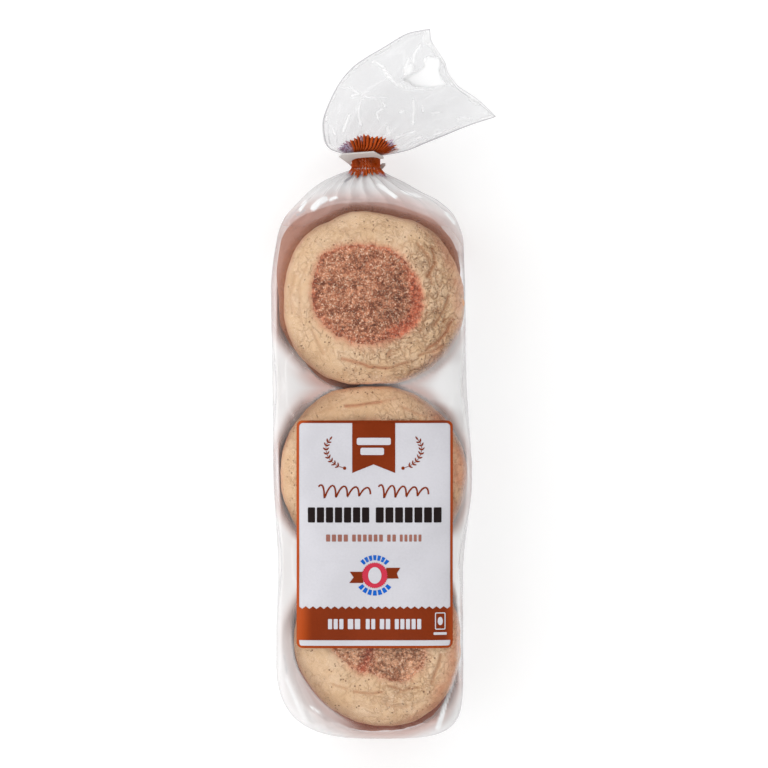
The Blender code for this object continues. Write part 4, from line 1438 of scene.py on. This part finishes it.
def neck_bunch_rings():
    """The gathered printed band: sharp pleats that fan out on both sides of the clip."""
    table = tail_table()
    centre_x = 0.5 * (NECK_LEFT + NECK_RIGHT)
    half_x = 0.5 * (NECK_RIGHT - NECK_LEFT) + 0.0002
    neck = 0.5 * (NECK_END - NECK_START)
    spreads = list(zip(*FAN))
    pleats = []
    for i in range(BUNCH_AROUND):
        pleat = BUNCH_PLEATS * i / BUNCH_AROUND
        own = int(pleat)
        peak = 1.0 - 2.0 * abs(pleat - own - 0.5)
        turn = TURN * i / BUNCH_AROUND - 0.5 * math.pi
        turn += 0.16 * noise.noise(Vector((1.6 * math.cos(turn), 1.6 * math.sin(turn), 9.0)))
        key = FanKey(*(smooth_through(spreads[0], column, math.cos(turn)) for column in spreads))
        tail = key.tail_reach + 0.0022 * noise.noise(Vector((own * 5.17, 4.0, 0.0))) + 0.0011 * peak
        body = key.body_reach + 0.0028 * noise.noise(Vector((own * 7.31, 1.0, 0.0))) + 0.0010 * peak
        pleats.append((turn, own, peak, key, tail, body))
    rings = []
    for row in range(BUNCH_ROWS + 1):
        ring = []
        for turn, own, peak, key, tail, body in pleats:
            along = mix(-neck - body, neck + tail, row / BUNCH_ROWS)
            out = max(0.0, abs(along) - neck)
            squeeze = 1.0 - smooth_step(0.0, 0.0055, abs(along - 0.0022))
            bent = turn + 0.62 * squeeze * 0.5 * (1.0 + math.cos(turn - 0.35))
            spread = math.radians(key.tail_turn if along > 0.0 else key.body_turn)
            open_share = smooth_step(0.0, 0.006, out)
            x = centre_x + half_x * math.cos(bent) + out * math.sin(spread)
            y = 0.5 * (NECK_START + NECK_END) + math.copysign(
                min(abs(along), neck) + out * math.cos(spread), along
            )
            if out > 0.0:
                middle, half = tail_level(table, x, y) if along > 0.0 else body_level(x, y)
                side = math.copysign(min(1.0, 2.5 * abs(math.sin(turn))) ** 0.5, math.sin(turn))
                round_up = NECK_HALF_HEIGHT * math.sin(bent)
                up = mix(round_up, half * side, smooth_step(0.0, 0.0012, out))
            else:
                middle, side = NECK_HEIGHT, math.sin(bent)
                up = NECK_HALF_HEIGHT * side
            fold = mix(0.00034, 0.00095, open_share) * (2.0 * peak - 1.0)
            sway = 0.0005 * open_share * noise.noise(Vector((own * 3.7, y * 180.0, 2.0)))
            rise = (
                mix(0.0004, BUNCH_GAP + 0.0007, open_share) + fold + sway
            ) * math.copysign(min(1.0, 2.0 * abs(side)), side)
            x += (fold + sway) * math.cos(bent) * (1.0 - 0.5 * open_share)
            ring.append(Vector((x, y, middle + up + rise)))
        rings.append(ring)
    return rings


def neck_print_material(settings):
    material, n = new_material("orange brown print on film")
    place = n.place()
    valley, fringe = n.mask("valley"), n.mask("fringe")
    ink = scaled(settings.print_colour, 2.35, 3.3, 5.0)
    deep = scaled(settings.print_colour, 0.36, 0.34, 0.8)
    # Painted shade: the pleats' valleys, and the middle where the clip grips them, are darker.
    colour = n.blend(n.between(valley, 0.25, 0.95), ink, deep)
    streaks = n.noise(place, 900.0, 2.0)
    colour = n.blend(n.between(streaks, 0.66, 0.76), colour, (0.82, 0.45, 0.33))
    colour = n.blend(
        fringe, colour, n.blend(n.between(streaks, 0.40, 0.60), (0.66, 0.62, 0.74), (0.42, 0.22, 0.30))
    )
    shader = n.add(
        "ShaderNodeBsdfPrincipled",
        {
            "Base Color": colour, "Roughness": n.between(streaks, 0.3, 0.7, 0.24, 0.40),
            "Normal": n.bump(streaks, 0.35, 0.0004)
        },
    )
    close_material(n, shader.outputs[0])
    return material


# ------------------------------------------------------------------ label


def film_top(x, y, depth):
    """Height of the upper film over the muffins at a place on plan."""
    left, right = side_at(y)
    low, high = level_at(y)
    middle = mix(low, high, 0.45)
    power = body_powers(y)[1]
    across = abs(x - 0.5 * (left + right)) / (0.5 * (right - left))
    up = (1.0 - across**power) ** (1.0 / power)
    topness = smooth_step(0.35, 0.85, up)
    return middle + (high - middle) * up + (top_rise(x, y, depth) - sag_at(x, y)) * topness


class LabelPrint:
    """Flat shapes drawn on the label, in millimetres from its lower left corner."""

    def __init__(self):
        self.bm = bmesh.new()

    def spot(self, across, up):
        return Vector((LABEL_LOW.x + across * MM, LABEL_LOW.y + up * MM, 0.0))

    def outline(self, points):
        self.bm.faces.new([self.bm.verts.new(self.spot(x, y)) for x, y in points])

    def bar(self, left, low, right, high, corner=0.0):
        self.outline(
            rounded(left, low, right, high, corner) if corner else (
                (left, low), (right, low), (right, high), (left, high)
            )
        )

    def row(self, left, right, low, high, count, gap, corner):
        """A row of equal upright bars."""
        step = (right - left + gap) / count
        for i in range(count):
            self.bar(left + step * i, low, left + step * (i + 1) - gap, high, corner)

    def disc(self, across, up, radius, segments=40, scallop=0.0, scallops=1, tall=1.0):
        points = []
        for i in range(segments):
            turn = TURN * i / segments
            r = radius + scallop * math.cos(scallops * turn)
            points.append((across + r * math.cos(turn), up + tall * r * math.sin(turn)))
        self.outline(points)

    def leaf(self, across, up, length, width, angle):
        points = []
        for i in range(12):
            turn = TURN * i / 12
            along = 0.5 * length * math.cos(turn)
            aside = 0.5 * width * math.sin(turn) * (1.0 - 0.35 * math.cos(turn))
            points.append(
                (
                    across + along * math.cos(angle) - aside * math.sin(angle),
                    up + along * math.sin(angle) + aside * math.cos(angle),
                )
            )
        self.outline(points)

    def ribbon(self, centres, width):
        """A stroke of even width along the centres."""
        lefts, rights = [], []
        for i, centre in enumerate(centres):
            before = centres[max(0, i - 1)]
            after = centres[min(len(centres) - 1, i + 1)]
            run = math.dist(before, after)
            aside = (-(after[1] - before[1]) / run * 0.5 * width, (after[0] - before[0]) / run * 0.5 * width)
            lefts.append((centre[0] + aside[0], centre[1] + aside[1]))
            rights.append((centre[0] - aside[0], centre[1] - aside[1]))
        for i in range(len(centres) - 1):
            self.outline((rights[i], rights[i + 1], lefts[i + 1], lefts[i]))

    def ring(self, outer, inner):
        """The band between two outlines with the same number of points."""
        for i in range(len(outer)):
            j = (i + 1) % len(outer)
            self.outline((outer[i], outer[j], inner[j], inner[i]))

    def piece(self, name, layer, material, depth, thickness=0.0, node=None):
        """Cut the shapes fine, lay them over the film and make them a piece."""
        bm = self.bm
        bmesh.ops.remove_doubles(bm, verts=bm.verts, dist=1e-7)
        bmesh.ops.triangulate(bm, faces=bm.faces)
        for axis, low, high in ((0, LABEL_LOW.x, LABEL_HIGH.x), (1, LABEL_LOW.y, LABEL_HIGH.y)):
            direction = Vector((1.0, 0.0, 0.0)) if axis == 0 else Vector((0.0, 1.0, 0.0))
            for place in spaced(low, high, PRINT_GRID)[1:]:
                near = [face for face in bm.faces if any(abs(v.co[axis] - place) < 0.13 for v in face.verts)]
                parts = list(
                    {v for f in near for v in f.verts}
                ) + list({e for f in near for e in f.edges}) + near
                bmesh.ops.bisect_plane(
                    bm, geom=parts, dist=1e-7, plane_co=direction * place, plane_no=direction
                )
        for vert in bm.verts:
            vert.co.z = film_top(vert.co.x, vert.co.y, depth) + PRINT_GAP + layer * PRINT_STEP
        for face in bm.faces:
            if face.normal.z < 0.0:
                face.normal_flip()
        if thickness:
            grown = bmesh.ops.extrude_face_region(bm, geom=list(bm.faces), use_keep_orig=True)
            lowered = [v for v in grown["geom"] if isinstance(v, bmesh.types.BMVert)]
            bmesh.ops.translate(bm, verts=lowered, vec=(0.0, 0.0, -thickness))
        bmesh.ops.recalc_face_normals(bm, faces=bm.faces)
        return new_piece(name, bm, material, node)


def rounded(left, low, right, high, corner, steps=6):
    """Points round a rectangle with round corners."""
    points = []
    for k, (x, y) in enumerate(
        (
            (right - corner, low + corner), (right - corner, high - corner), (left + corner, high - corner),
            (left + corner, low + corner)
        )
    ):
        for i in range(steps + 1):
            turn = 0.5 * math.pi * (k - 1 + i / steps)
            points.append((x + corner * math.cos(turn), y + corner * math.sin(turn)))
    return points


def print_material(name, colour, roughness, low=0.92, high=1.08, edge=None):
    """Smooth print, with another colour along the label's sides and foot where one is given."""
    material, n = new_material(name)
    place = n.place()
    fine = mottle(n, place, 45.0, 900.0)
    base = n.blend(n.between(fine, 0.35, 0.65), scaled(colour, low), scaled(colour, high))
    if edge:
        way = n.add("ShaderNodeSeparateXYZ", {0: place})
        left = n.between(way.outputs[0], LABEL_LOW.x + 0.0012, LABEL_LOW.x + 0.0085, 0.85, 0.0)
        right = n.between(way.outputs[0], LABEL_HIGH.x - 0.0045, LABEL_HIGH.x - 0.0008, 0.0, 0.5)
        foot = n.between(way.outputs[1], LABEL_LOW.y + 0.0008, LABEL_LOW.y + 0.0045, 0.5, 0.0)
        base = n.blend(n.math("MAXIMUM", left, n.math("MAXIMUM", right, foot)), base, edge)
    soft = n.noise(place, 55.0, 2.0)
    shader = n.add(
        "ShaderNodeBsdfPrincipled",
        {
            "Base Color": base, "Roughness": n.between(fine, 0.3, 0.7, roughness, roughness + 0.1),
            "Normal": n.bump(soft, 0.25, 0.0012)
        },
    )
    shader.inputs["Specular IOR Level"].default_value = 0.16
    close_material(n, shader.outputs[0])
    return material


# ------------------------------------------------------------------ operators


class MUFFINBAG_OT_add_muffins(bpy.types.Operator):
    """Add the six muffins, two layers of three"""

    bl_idname = "muffin_bag.add_muffins"
    bl_label = "Add muffins"

    def execute(self, context):
        settings = context.scene.muffin_settings
        for plan in MUFFINS:
            material = crust_material(
                settings, plan.name.replace("_", " ") + " crust", plan.shade, plan.toasting
            )
            make_muffin(plan, settings, material)
        return {"FINISHED"}


TRAY_WALL = 0.0175
TRAY_BOARD = 0.0006
TRAY_INSET = 0.0020
TRAY_LEAN = 0.0034
# Room kept free between the lower muffins and the board, and between them and the film.
TRAY_ROOM = 0.0012
FILM_ROOM = 0.0018
TRAY_END = 0.1150
TRAY_RUN_OUT = 0.028


class MUFFINBAG_OT_add_tray(bpy.types.Operator):
    """Add the white paperboard tray under the muffins"""

    bl_idname = "muffin_bag.add_tray"
    bl_label = "Add tray"

    def execute(self, context):
        settings = context.scene.bag_settings
        rows = spaced(BOTTOM_START + 0.0045, TRAY_END, 0.003) + [TRAY_END]
        section = [(-1.0, TRAY_WALL * (1.0 - i / 8.0)) for i in range(8)]
        section += [(mix(-1.0, 1.0, i / 24.0), 0.0) for i in range(25)]
        section += [(1.0, TRAY_WALL * (i + 1.0) / 8.0) for i in range(8)]
        rings = []
        for y in rows:
            left, right = side_at(y)
            low = level_at(y)[0]
            ring = []
            for across, up in section:
                lean = TRAY_LEAN * (1.0 - up / TRAY_WALL)
                reach = 0.5 * (right - left) - TRAY_INSET - lean
                x = 0.5 * (left + right) + across * reach
                x += 0.0005 * ripple(x, y, up, 0.03, 3.0) * (up / TRAY_WALL)
                runs_out = 1.0 - 0.92 * smooth_step(TRAY_END - TRAY_RUN_OUT, TRAY_END, y)
                z = max(low, 0.0) + 0.0004 + up * runs_out * (1.0 + 0.05 * ripple(0.0, y, 0.0, 0.04, 5.0))
                ring.append(Vector((x, y, z)))
            rings.append(ring)
        bm = wrap_grid(rings, closed=False)
        bmesh.ops.solidify(bm, geom=list(bm.faces), thickness=TRAY_BOARD)
        bmesh.ops.recalc_face_normals(bm, faces=bm.faces)
        material, n = new_material("white paperboard")
        place = n.place()
        fibre = n.noise(place, 700.0, 3.0, 0.6)
        fine = mottle(n, place, 30.0, 500.0)
        base = n.blend(
            n.between(fine, 0.35, 0.65), [c * 0.95 for c in settings.tray_colour], settings.tray_colour
        )
        shader = n.add(
            "ShaderNodeBsdfPrincipled",
            {
                "Base Color": base, "Roughness": n.between(fibre, 0.3, 0.7, 0.5, 0.65),
                "Normal": n.bump(fibre, 0.2, 0.0002)
            },
        )
        close_material(n, shader.outputs[0])
        new_piece("tray_board", bm, material, smooth=False)
        return {"FINISHED"}


class MUFFINBAG_OT_add_film(bpy.types.Operator):
    """Add the clear film bag with its open tail"""

    bl_idname = "muffin_bag.add_film"
    bl_label = "Add film bag"

    def execute(self, context):
        settings = context.scene.bag_settings
        bm = wrap_grid(film_rings(settings.ripple_depth))
        bm.normal_update()
        looks = [film_look(vert.co, vert.normal.z) for vert in bm.verts]
        piece = new_piece("film_bag", bm, film_material(settings), "clear_bag")
        for name, values in zip(FilmLook._fields, zip(*looks)):
            set_mask(piece.data, name, values)
        return {"FINISHED"}


class MUFFINBAG_OT_add_neck_print(bpy.types.Operator):
    """Add the printed band that is gathered in the clip"""

    bl_idname = "muffin_bag.add_neck_print"
    bl_label = "Add gathered print"

    def execute(self, context):
        rings = neck_bunch_rings()
        bm = wrap_grid(rings)
        material = neck_print_material(context.scene.label_settings)
        valley, fringe = [], []
        lookup = {}
        for row, ring in enumerate(rings):
            share = row / BUNCH_ROWS
            for i, point in enumerate(ring):
                pleat = BUNCH_PLEATS * i / BUNCH_AROUND
                own = int(pleat)
                across = math.sin(TURN * i / BUNCH_AROUND)
                # Painted shade in each pleat's valley and where the clip grips the pleats, on top of a random
                # tone per pleat.
                deep = 1.0 - smooth_step(0.0, 0.20, pleat - own) + smooth_step(0.72, 1.0, pleat - own)
                tone = 0.5 + 0.5 * noise.noise(Vector((own * 4.1, 3.0, 8.0)))
                lilac = 1.0 if noise.noise(Vector((own * 9.3, 7.0, 1.0))) > 0.10 else 0.0
                end = max(1.0 - smooth_step(0.05, 0.13, share), smooth_step(0.85, 0.90, share)) * lilac
                left_end = smooth_step(0.60, 0.72, -across) * smooth_step(0.5, 0.6, share)
                gripped = 1.0 - smooth_step(0.12, 0.20, abs(share - 0.45))
                dark = min(1.0, deep * mix(0.7, 1.0, tone) + 0.30 * tone + 0.35 * gripped * tone)
                lookup[tuple(round(c, 7) for c in point)] = (dark, max(end, left_end))
        for vert in bm.verts:
            dark, edge = lookup.get(tuple(round(c, 7) for c in vert.co), (0.5, 0.0))
            valley.append(dark)
            fringe.append(edge)
        piece = new_piece("neck_print", bm, material, smooth=False)
        set_mask(piece.data, "valley", valley)
        set_mask(piece.data, "fringe", fringe)
        return {"FINISHED"}


class MUFFINBAG_OT_add_clip(bpy.types.Operator):
    """Add the bread clip with rounded edges"""

    bl_idname = "muffin_bag.add_clip"
    bl_label = "Add bread clip"

    def execute(self, context):
        settings = context.scene.bag_settings
        bm = bmesh.new()
        bm.from_mesh(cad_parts["closure_clip"].data)
        bmesh.ops.remove_doubles(bm, verts=bm.verts, dist=1e-6)
        bmesh.ops.dissolve_limit(bm, angle_limit=math.radians(3.0), verts=bm.verts, edges=bm.edges)
        rims = [e for e in bm.edges if len(e.link_faces) == 2 and e.calc_face_angle(0.0) > math.radians(60.0)]
        bmesh.ops.bevel(bm, geom=rims, offset=0.00022, segments=2, affect="EDGES", profile=0.5, material=-1)
        bmesh.ops.recalc_face_normals(bm, faces=bm.faces)
        material, n = new_material("white clip plastic")
        place = n.place()
        fine = mottle(n, place, 120.0, 1500.0)
        base = n.blend(
            n.between(fine, 0.35, 0.65), [c * 0.93 for c in settings.clip_colour], settings.clip_colour
        )
        shader = n.add(
            "ShaderNodeBsdfPrincipled",
            {
                "Base Color": base, "Roughness": n.between(fine, 0.3, 0.7, 0.32, 0.45),
                "Normal": n.bump(fine, 0.15, 0.0003)
            },
        )
        close_material(n, shader.outputs[0])
        new_piece("bread_clip", bm, material, "closure_clip", smooth=False)
        return {"FINISHED"}


class MUFFINBAG_OT_add_label(bpy.types.Operator):
    """Add the printed label on the film over the muffins"""

    bl_idname = "muffin_bag.add_label"
    bl_label = "Add label"

    def execute(self, context):
        settings = context.scene.label_settings
        depth = context.scene.bag_settings.ripple_depth
        wide = (LABEL_HIGH.x - LABEL_LOW.x) / MM
        tall = (LABEL_HIGH.y - LABEL_LOW.y) / MM
        panel = print_material("cool white print", settings.panel_colour, 0.30, 0.96, 1.03)
        brown = print_material("orange brown print", settings.print_colour, 0.30, edge=settings.edge_colour)
        soft_brown = print_material("soft brown print", settings.small_print_colour, 0.30)
        black = print_material("near black print", settings.ink_colour, 0.32)
        pink = print_material("pink print", settings.badge_colour, 0.30)
        blue = print_material("blue print", settings.dash_colour, 0.32)

        ground = LabelPrint()
        ground.outline(rounded(0.02, 0.02, wide - 0.02, tall - 0.02, 2.98))
        ground.piece("label_panel", 0, panel, depth, thickness=0.00018, node="front_label")

        ink = LabelPrint()
        border = 1.3
        ink.ring(
            rounded(0.0, 0.0, wide, tall, 3.0), rounded(border, border, wide - border, tall - border, 2.0)
        )
        # Pennant.
        ink.outline(((27.9, tall - 1.0), (27.9, 87.6), (38.6, 91.9), (49.4, 87.6), (49.4, tall - 1.0)))
        # Band with a zigzag upper edge, over a pale stripe.
        teeth = 21
        zigzag = []
        for i in range(2 * teeth + 1):
            zigzag.append((mix(wide - 1.0, 1.0, i / (2 * teeth)), 19.6 if i % 2 else 20.9))
        ink.outline([(1.0, 4.0), (wide - 1.0, 4.0)] + zigzag)
        # Sprigs either side of the pennant.
        for side in (-1.0, 1.0):
            middle = 38.7
            stem = [
                (middle - side * (middle - across), up)
                for across, up in (
                    (23.2, 90.3), (21.2, 90.9), (19.4, 91.9), (17.7, 93.2), (16.3, 94.9), (15.3, 96.8),
                    (14.8, 98.9), (14.8, 101.0), (15.5, 102.9), (16.8, 104.4),
                )
            ]
            ink.ribbon(stem, 0.28)
            ink.disc(middle - side * (middle - 24.1), 90.0, 0.85, 20)
            for i in range(1, 9):
                across, up = stem[i]
                ahead, rise = stem[min(i + 1, 9)]
                way = math.atan2(rise - up, ahead - across) if i < 9 else way
                for lean in (-0.8, 0.8):
                    angle = way + lean
                    ink.leaf(across + 1.15 * math.cos(angle), up + 1.15 * math.sin(angle), 1.9, 0.75, angle)
            ink.leaf(stem[-1][0] + side * 0.5, stem[-1][1] + 0.7, 2.0, 0.8, math.radians(90.0 - side * 35.0))
        # A flowing line in two runs.
        for left, right in ((11.0, 37.0), (41.0, 66.0)):
            wave = []
            for i in range(61):
                share = i / 60
                fade = 1.0 - 0.45 * share
                wave.append(
                    (
                        mix(left, right, share) + 0.9 * math.sin(TURN * 4.5 * share),
                        78.3 + 3.4 * fade * math.sin(TURN * 4.5 * share + 0.8),
                    )
                )
            ink.ribbon(wave, 0.85)
        # Ribbon ends either side of the badge.
        badge = (39.2, 36.4)
        ink.outline(((26.4, 32.6), (33.4, 32.6), (33.6, 38.2), (26.7, 38.2), (28.6, 35.4)))
        ink.outline(((44.9, 34.8), (51.2, 34.8), (50.2, 37.4), (52.0, 40.2), (44.9, 40.2)))
        ink.piece("label_brown_print", 1, brown, depth)

        bold = LabelPrint()
        for left, right in ((5.7, 36.4), (39.7, 72.6)):
            bold.row(left, right, 62.8, 70.4, 7, 0.9, 0.5)
        bold.piece("label_black_bars", 1, black, depth)

        small = LabelPrint()
        for left, right, count in ((14.8, 25.7, 4), (27.9, 43.2, 6), (45.4, 49.7, 2), (51.7, 62.5, 5)):
            small.row(left, right, 53.3, 56.8, count, 0.9, 0.3)
        small.piece("label_small_bars", 1, soft_brown, depth)

        rosette = LabelPrint()
        rosette.disc(*badge, 6.3, 180, 0.22, 36)
        rosette.piece("label_badge", 2, pink, depth)

        dashes = LabelPrint()
        for start, stop in ((138.0, 42.0), (213.0, 327.0)):
            for i in range(7):
                middle = mix(start, stop, (i + 0.5) / 7.0)
                half = 0.36 * abs(stop - start) / 7.0
                inner = []
                outer = []
                for k in range(5):
                    turn = math.radians(middle + mix(-half, half, k / 4.0))
                    inner.append((badge[0] + 7.5 * math.cos(turn), badge[1] + 7.5 * math.sin(turn)))
                    outer.append((badge[0] + 10.1 * math.cos(turn), badge[1] + 10.1 * math.sin(turn)))
                dashes.outline(inner + outer[::-1])
        dashes.piece("label_blue_dashes", 1, blue, depth)

        pale = LabelPrint()
        pale.bar(30.2, 101.6, 47.2, 105.2, 0.9)
        pale.bar(32.0, 96.6, 43.8, 100.2, 0.9)
        for left, right, count in (
            (15.8, 23.5, 3), (25.7, 31.9, 2), (34.7, 39.4, 2), (41.7, 46.9, 2), (49.2, 62.4, 5)
        ):
            pale.row(left, right, 9.5, 14.6, count, 0.8, 0.4)
        pale.ring(rounded(69.3, 9.2, 74.6, 17.8, 0.7), rounded(69.8, 9.7, 74.1, 17.3, 0.4))
        pale.disc(71.95, 13.5, 1.3, 24, tall=1.6)
        pale.bar(68.6, 6.6, 75.2, 7.9, 0.3)
        pale.outline(rounded(1.5, 1.2, wide - 1.5, 3.9, 1.2))
        pale.piece("label_white_print", 2, panel, depth)
        centre = LabelPrint()
        centre.disc(*badge, 3.3, 40, tall=1.25)
        centre.piece("label_badge_centre", 3, panel, depth)
        return {"FINISHED"}


FLOOR_GLOW = 0.50
LightPlan = namedtuple("LightPlan", "name place size_x size_y power")
AIM = Vector((0.005, 0.045, 0.03))
LIGHTS = (
    LightPlan("panel light", PANEL_LIGHT, 0.26, 0.26, 0.9),
)
RING_HEIGHT = 0.574
RING_GAIN = 2.2


class MUFFINBAG_OT_add_stage(bpy.types.Operator):
    """Add the floor, the soft lights and the camera"""

    bl_idname = "muffin_bag.add_stage"
    bl_label = "Add stage"

    def execute(self, context):
        settings = context.scene.stage_settings
        scene = context.scene
        bm = bmesh.new()
        bmesh.ops.create_grid(bm, x_segments=8, y_segments=8, size=4.0)
        bmesh.ops.translate(bm, verts=bm.verts, vec=(0.0, 0.0, -0.0004))
        mesh = bpy.data.meshes.new("floor")
        bm.to_mesh(mesh)
        bm.free()
        material, n = new_material("plain floor")
        fine = mottle(n, n.place(), 3.0, 60.0)
        base = n.blend(fine, [c * 0.99 for c in settings.floor_colour], settings.floor_colour)
        shader = n.add("ShaderNodeBsdfPrincipled", {"Base Color": base})
        shader.inputs["Roughness"].default_value = 0.9
        shader.inputs["Specular IOR Level"].default_value = 0.1
        shader.inputs["Emission Color"].default_value = (1.0, 1.0, 1.0, 1.0)
        shader.inputs["Emission Strength"].default_value = FLOOR_GLOW
        close_material(n, shader.outputs[0])
        mesh.materials.append(material)
        floor = bpy.data.objects.new("floor", mesh)
        scene.collection.objects.link(floor)

        world = bpy.data.worlds.new("soft room")
        scene.world = world
        world.use_nodes = True
        tree = world.node_tree
        tree.nodes.clear()
        n = Nodes(tree)
        way = n.add("ShaderNodeSeparateXYZ", {0: n.add("ShaderNodeTexCoord").outputs["Generated"]})
        up = way.outputs[2]
        shade = n.math("MULTIPLY", n.between(up, 0.0, 0.45, 0.70, 0.92), n.between(up, 0.84, 0.96, 1.0, 0.28))
        # A narrow bright ring gives every crease of the film its own thin glint.
        from_ring = n.math("ABSOLUTE", n.math("SUBTRACT", up, RING_HEIGHT))
        shade = n.math("ADD", shade, n.between(from_ring, 0.015, 0.045, RING_GAIN, 0.0))
        # The room is brighter from the left.
        lean = n.math(
            "ADD", n.math("MULTIPLY", way.outputs[0], -0.42), n.math("MULTIPLY", way.outputs[1], 0.06)
        )
        shade = n.math("MULTIPLY", shade, n.math("ADD", lean, 1.0))
        sky = n.add("ShaderNodeBackground", {"Color": (1.0, 1.0, 1.0), "Strength": shade})
        output = n.add("ShaderNodeOutputWorld")
        tree.links.new(sky.outputs[0], output.inputs["Surface"])

        for plan in LIGHTS:
            light = bpy.data.lights.new(plan.name, "AREA")
            light.shape = "RECTANGLE"
            light.size = plan.size_x
            light.size_y = plan.size_y
            light.energy = plan.power
            lamp = bpy.data.objects.new(plan.name, light)
            lamp.location = plan.place
            lamp.rotation_euler = (AIM - plan.place).to_track_quat("-Z", "Y").to_euler()
            scene.collection.objects.link(lamp)

        camera = bpy.data.cameras.new("camera")
        camera.sensor_width = 36.0
        camera.lens = 184.6
        eye = bpy.data.objects.new("camera", camera)
        eye.location = (0.0074, 0.0467, settings.camera_height)
        scene.collection.objects.link(eye)
        scene.camera = eye
        scene.view_settings.view_transform = "Standard"
        return {"FINISHED"}


class MUFFINBAG_PT_panel(bpy.types.Panel):
    """Lists the pieces of the bag of muffins"""

    bl_idname = "MUFFINBAG_PT_panel"
    bl_label = "Bag of english muffins"
    bl_space_type = "VIEW_3D"
    bl_region_type = "UI"
    bl_category = "Muffin bag"

    def draw(self, context):
        scene = context.scene
        for title, settings, names, operators in (
            ("Muffins", scene.muffin_settings,
             ("thickness", "crackle_depth", "crust_colour", "toast_colour", "scorch_colour"),
             ("muffin_bag.add_muffins",)),
            ("Bag", scene.bag_settings,
             ("ripple_depth", "film_tint", "haze_colour", "blush_colour", "tray_colour", "clip_colour"),
             ("muffin_bag.add_tray", "muffin_bag.add_film", "muffin_bag.add_clip")),
            ("Print", scene.label_settings,
             ("panel_colour", "print_colour", "edge_colour",
              "small_print_colour", "badge_colour", "dash_colour", "ink_colour"),
             ("muffin_bag.add_neck_print", "muffin_bag.add_label")),
            ("Stage", scene.stage_settings, ("floor_colour", "camera_height"), ("muffin_bag.add_stage",)),
        ):
            box = self.layout.box()
            box.label(text=title)
            for name in names:
                box.prop(settings, name)
            for operator in operators:
                box.operator(operator)


CLASSES = (
    MuffinSettings,
    BagSettings,
    LabelSettings,
    StageSettings,
    MUFFINBAG_OT_add_muffins,
    MUFFINBAG_OT_add_tray,
    MUFFINBAG_OT_add_film,
    MUFFINBAG_OT_add_neck_print,
    MUFFINBAG_OT_add_clip,
    MUFFINBAG_OT_add_label,
    MUFFINBAG_OT_add_stage,
    MUFFINBAG_PT_panel,
)


def register():
    for cls in CLASSES:
        bpy.utils.register_class(cls)
    bpy.types.Scene.muffin_settings = PointerProperty(type=MuffinSettings)
    bpy.types.Scene.bag_settings = PointerProperty(type=BagSettings)
    bpy.types.Scene.label_settings = PointerProperty(type=LabelSettings)
    bpy.types.Scene.stage_settings = PointerProperty(type=StageSettings)


def unregister():
    for name in ("muffin_settings", "bag_settings", "label_settings", "stage_settings"):
        delattr(bpy.types.Scene, name)
    for cls in reversed(CLASSES):
        bpy.utils.unregister_class(cls)


def main():
    register()
    bpy.ops.muffin_bag.add_stage()
    bpy.ops.muffin_bag.add_tray()
    bpy.ops.muffin_bag.add_muffins()
    bpy.ops.muffin_bag.add_neck_print()
    bpy.ops.muffin_bag.add_film()
    bpy.ops.muffin_bag.add_clip()
    bpy.ops.muffin_bag.add_label()


if __name__ == "__main__":
    main()
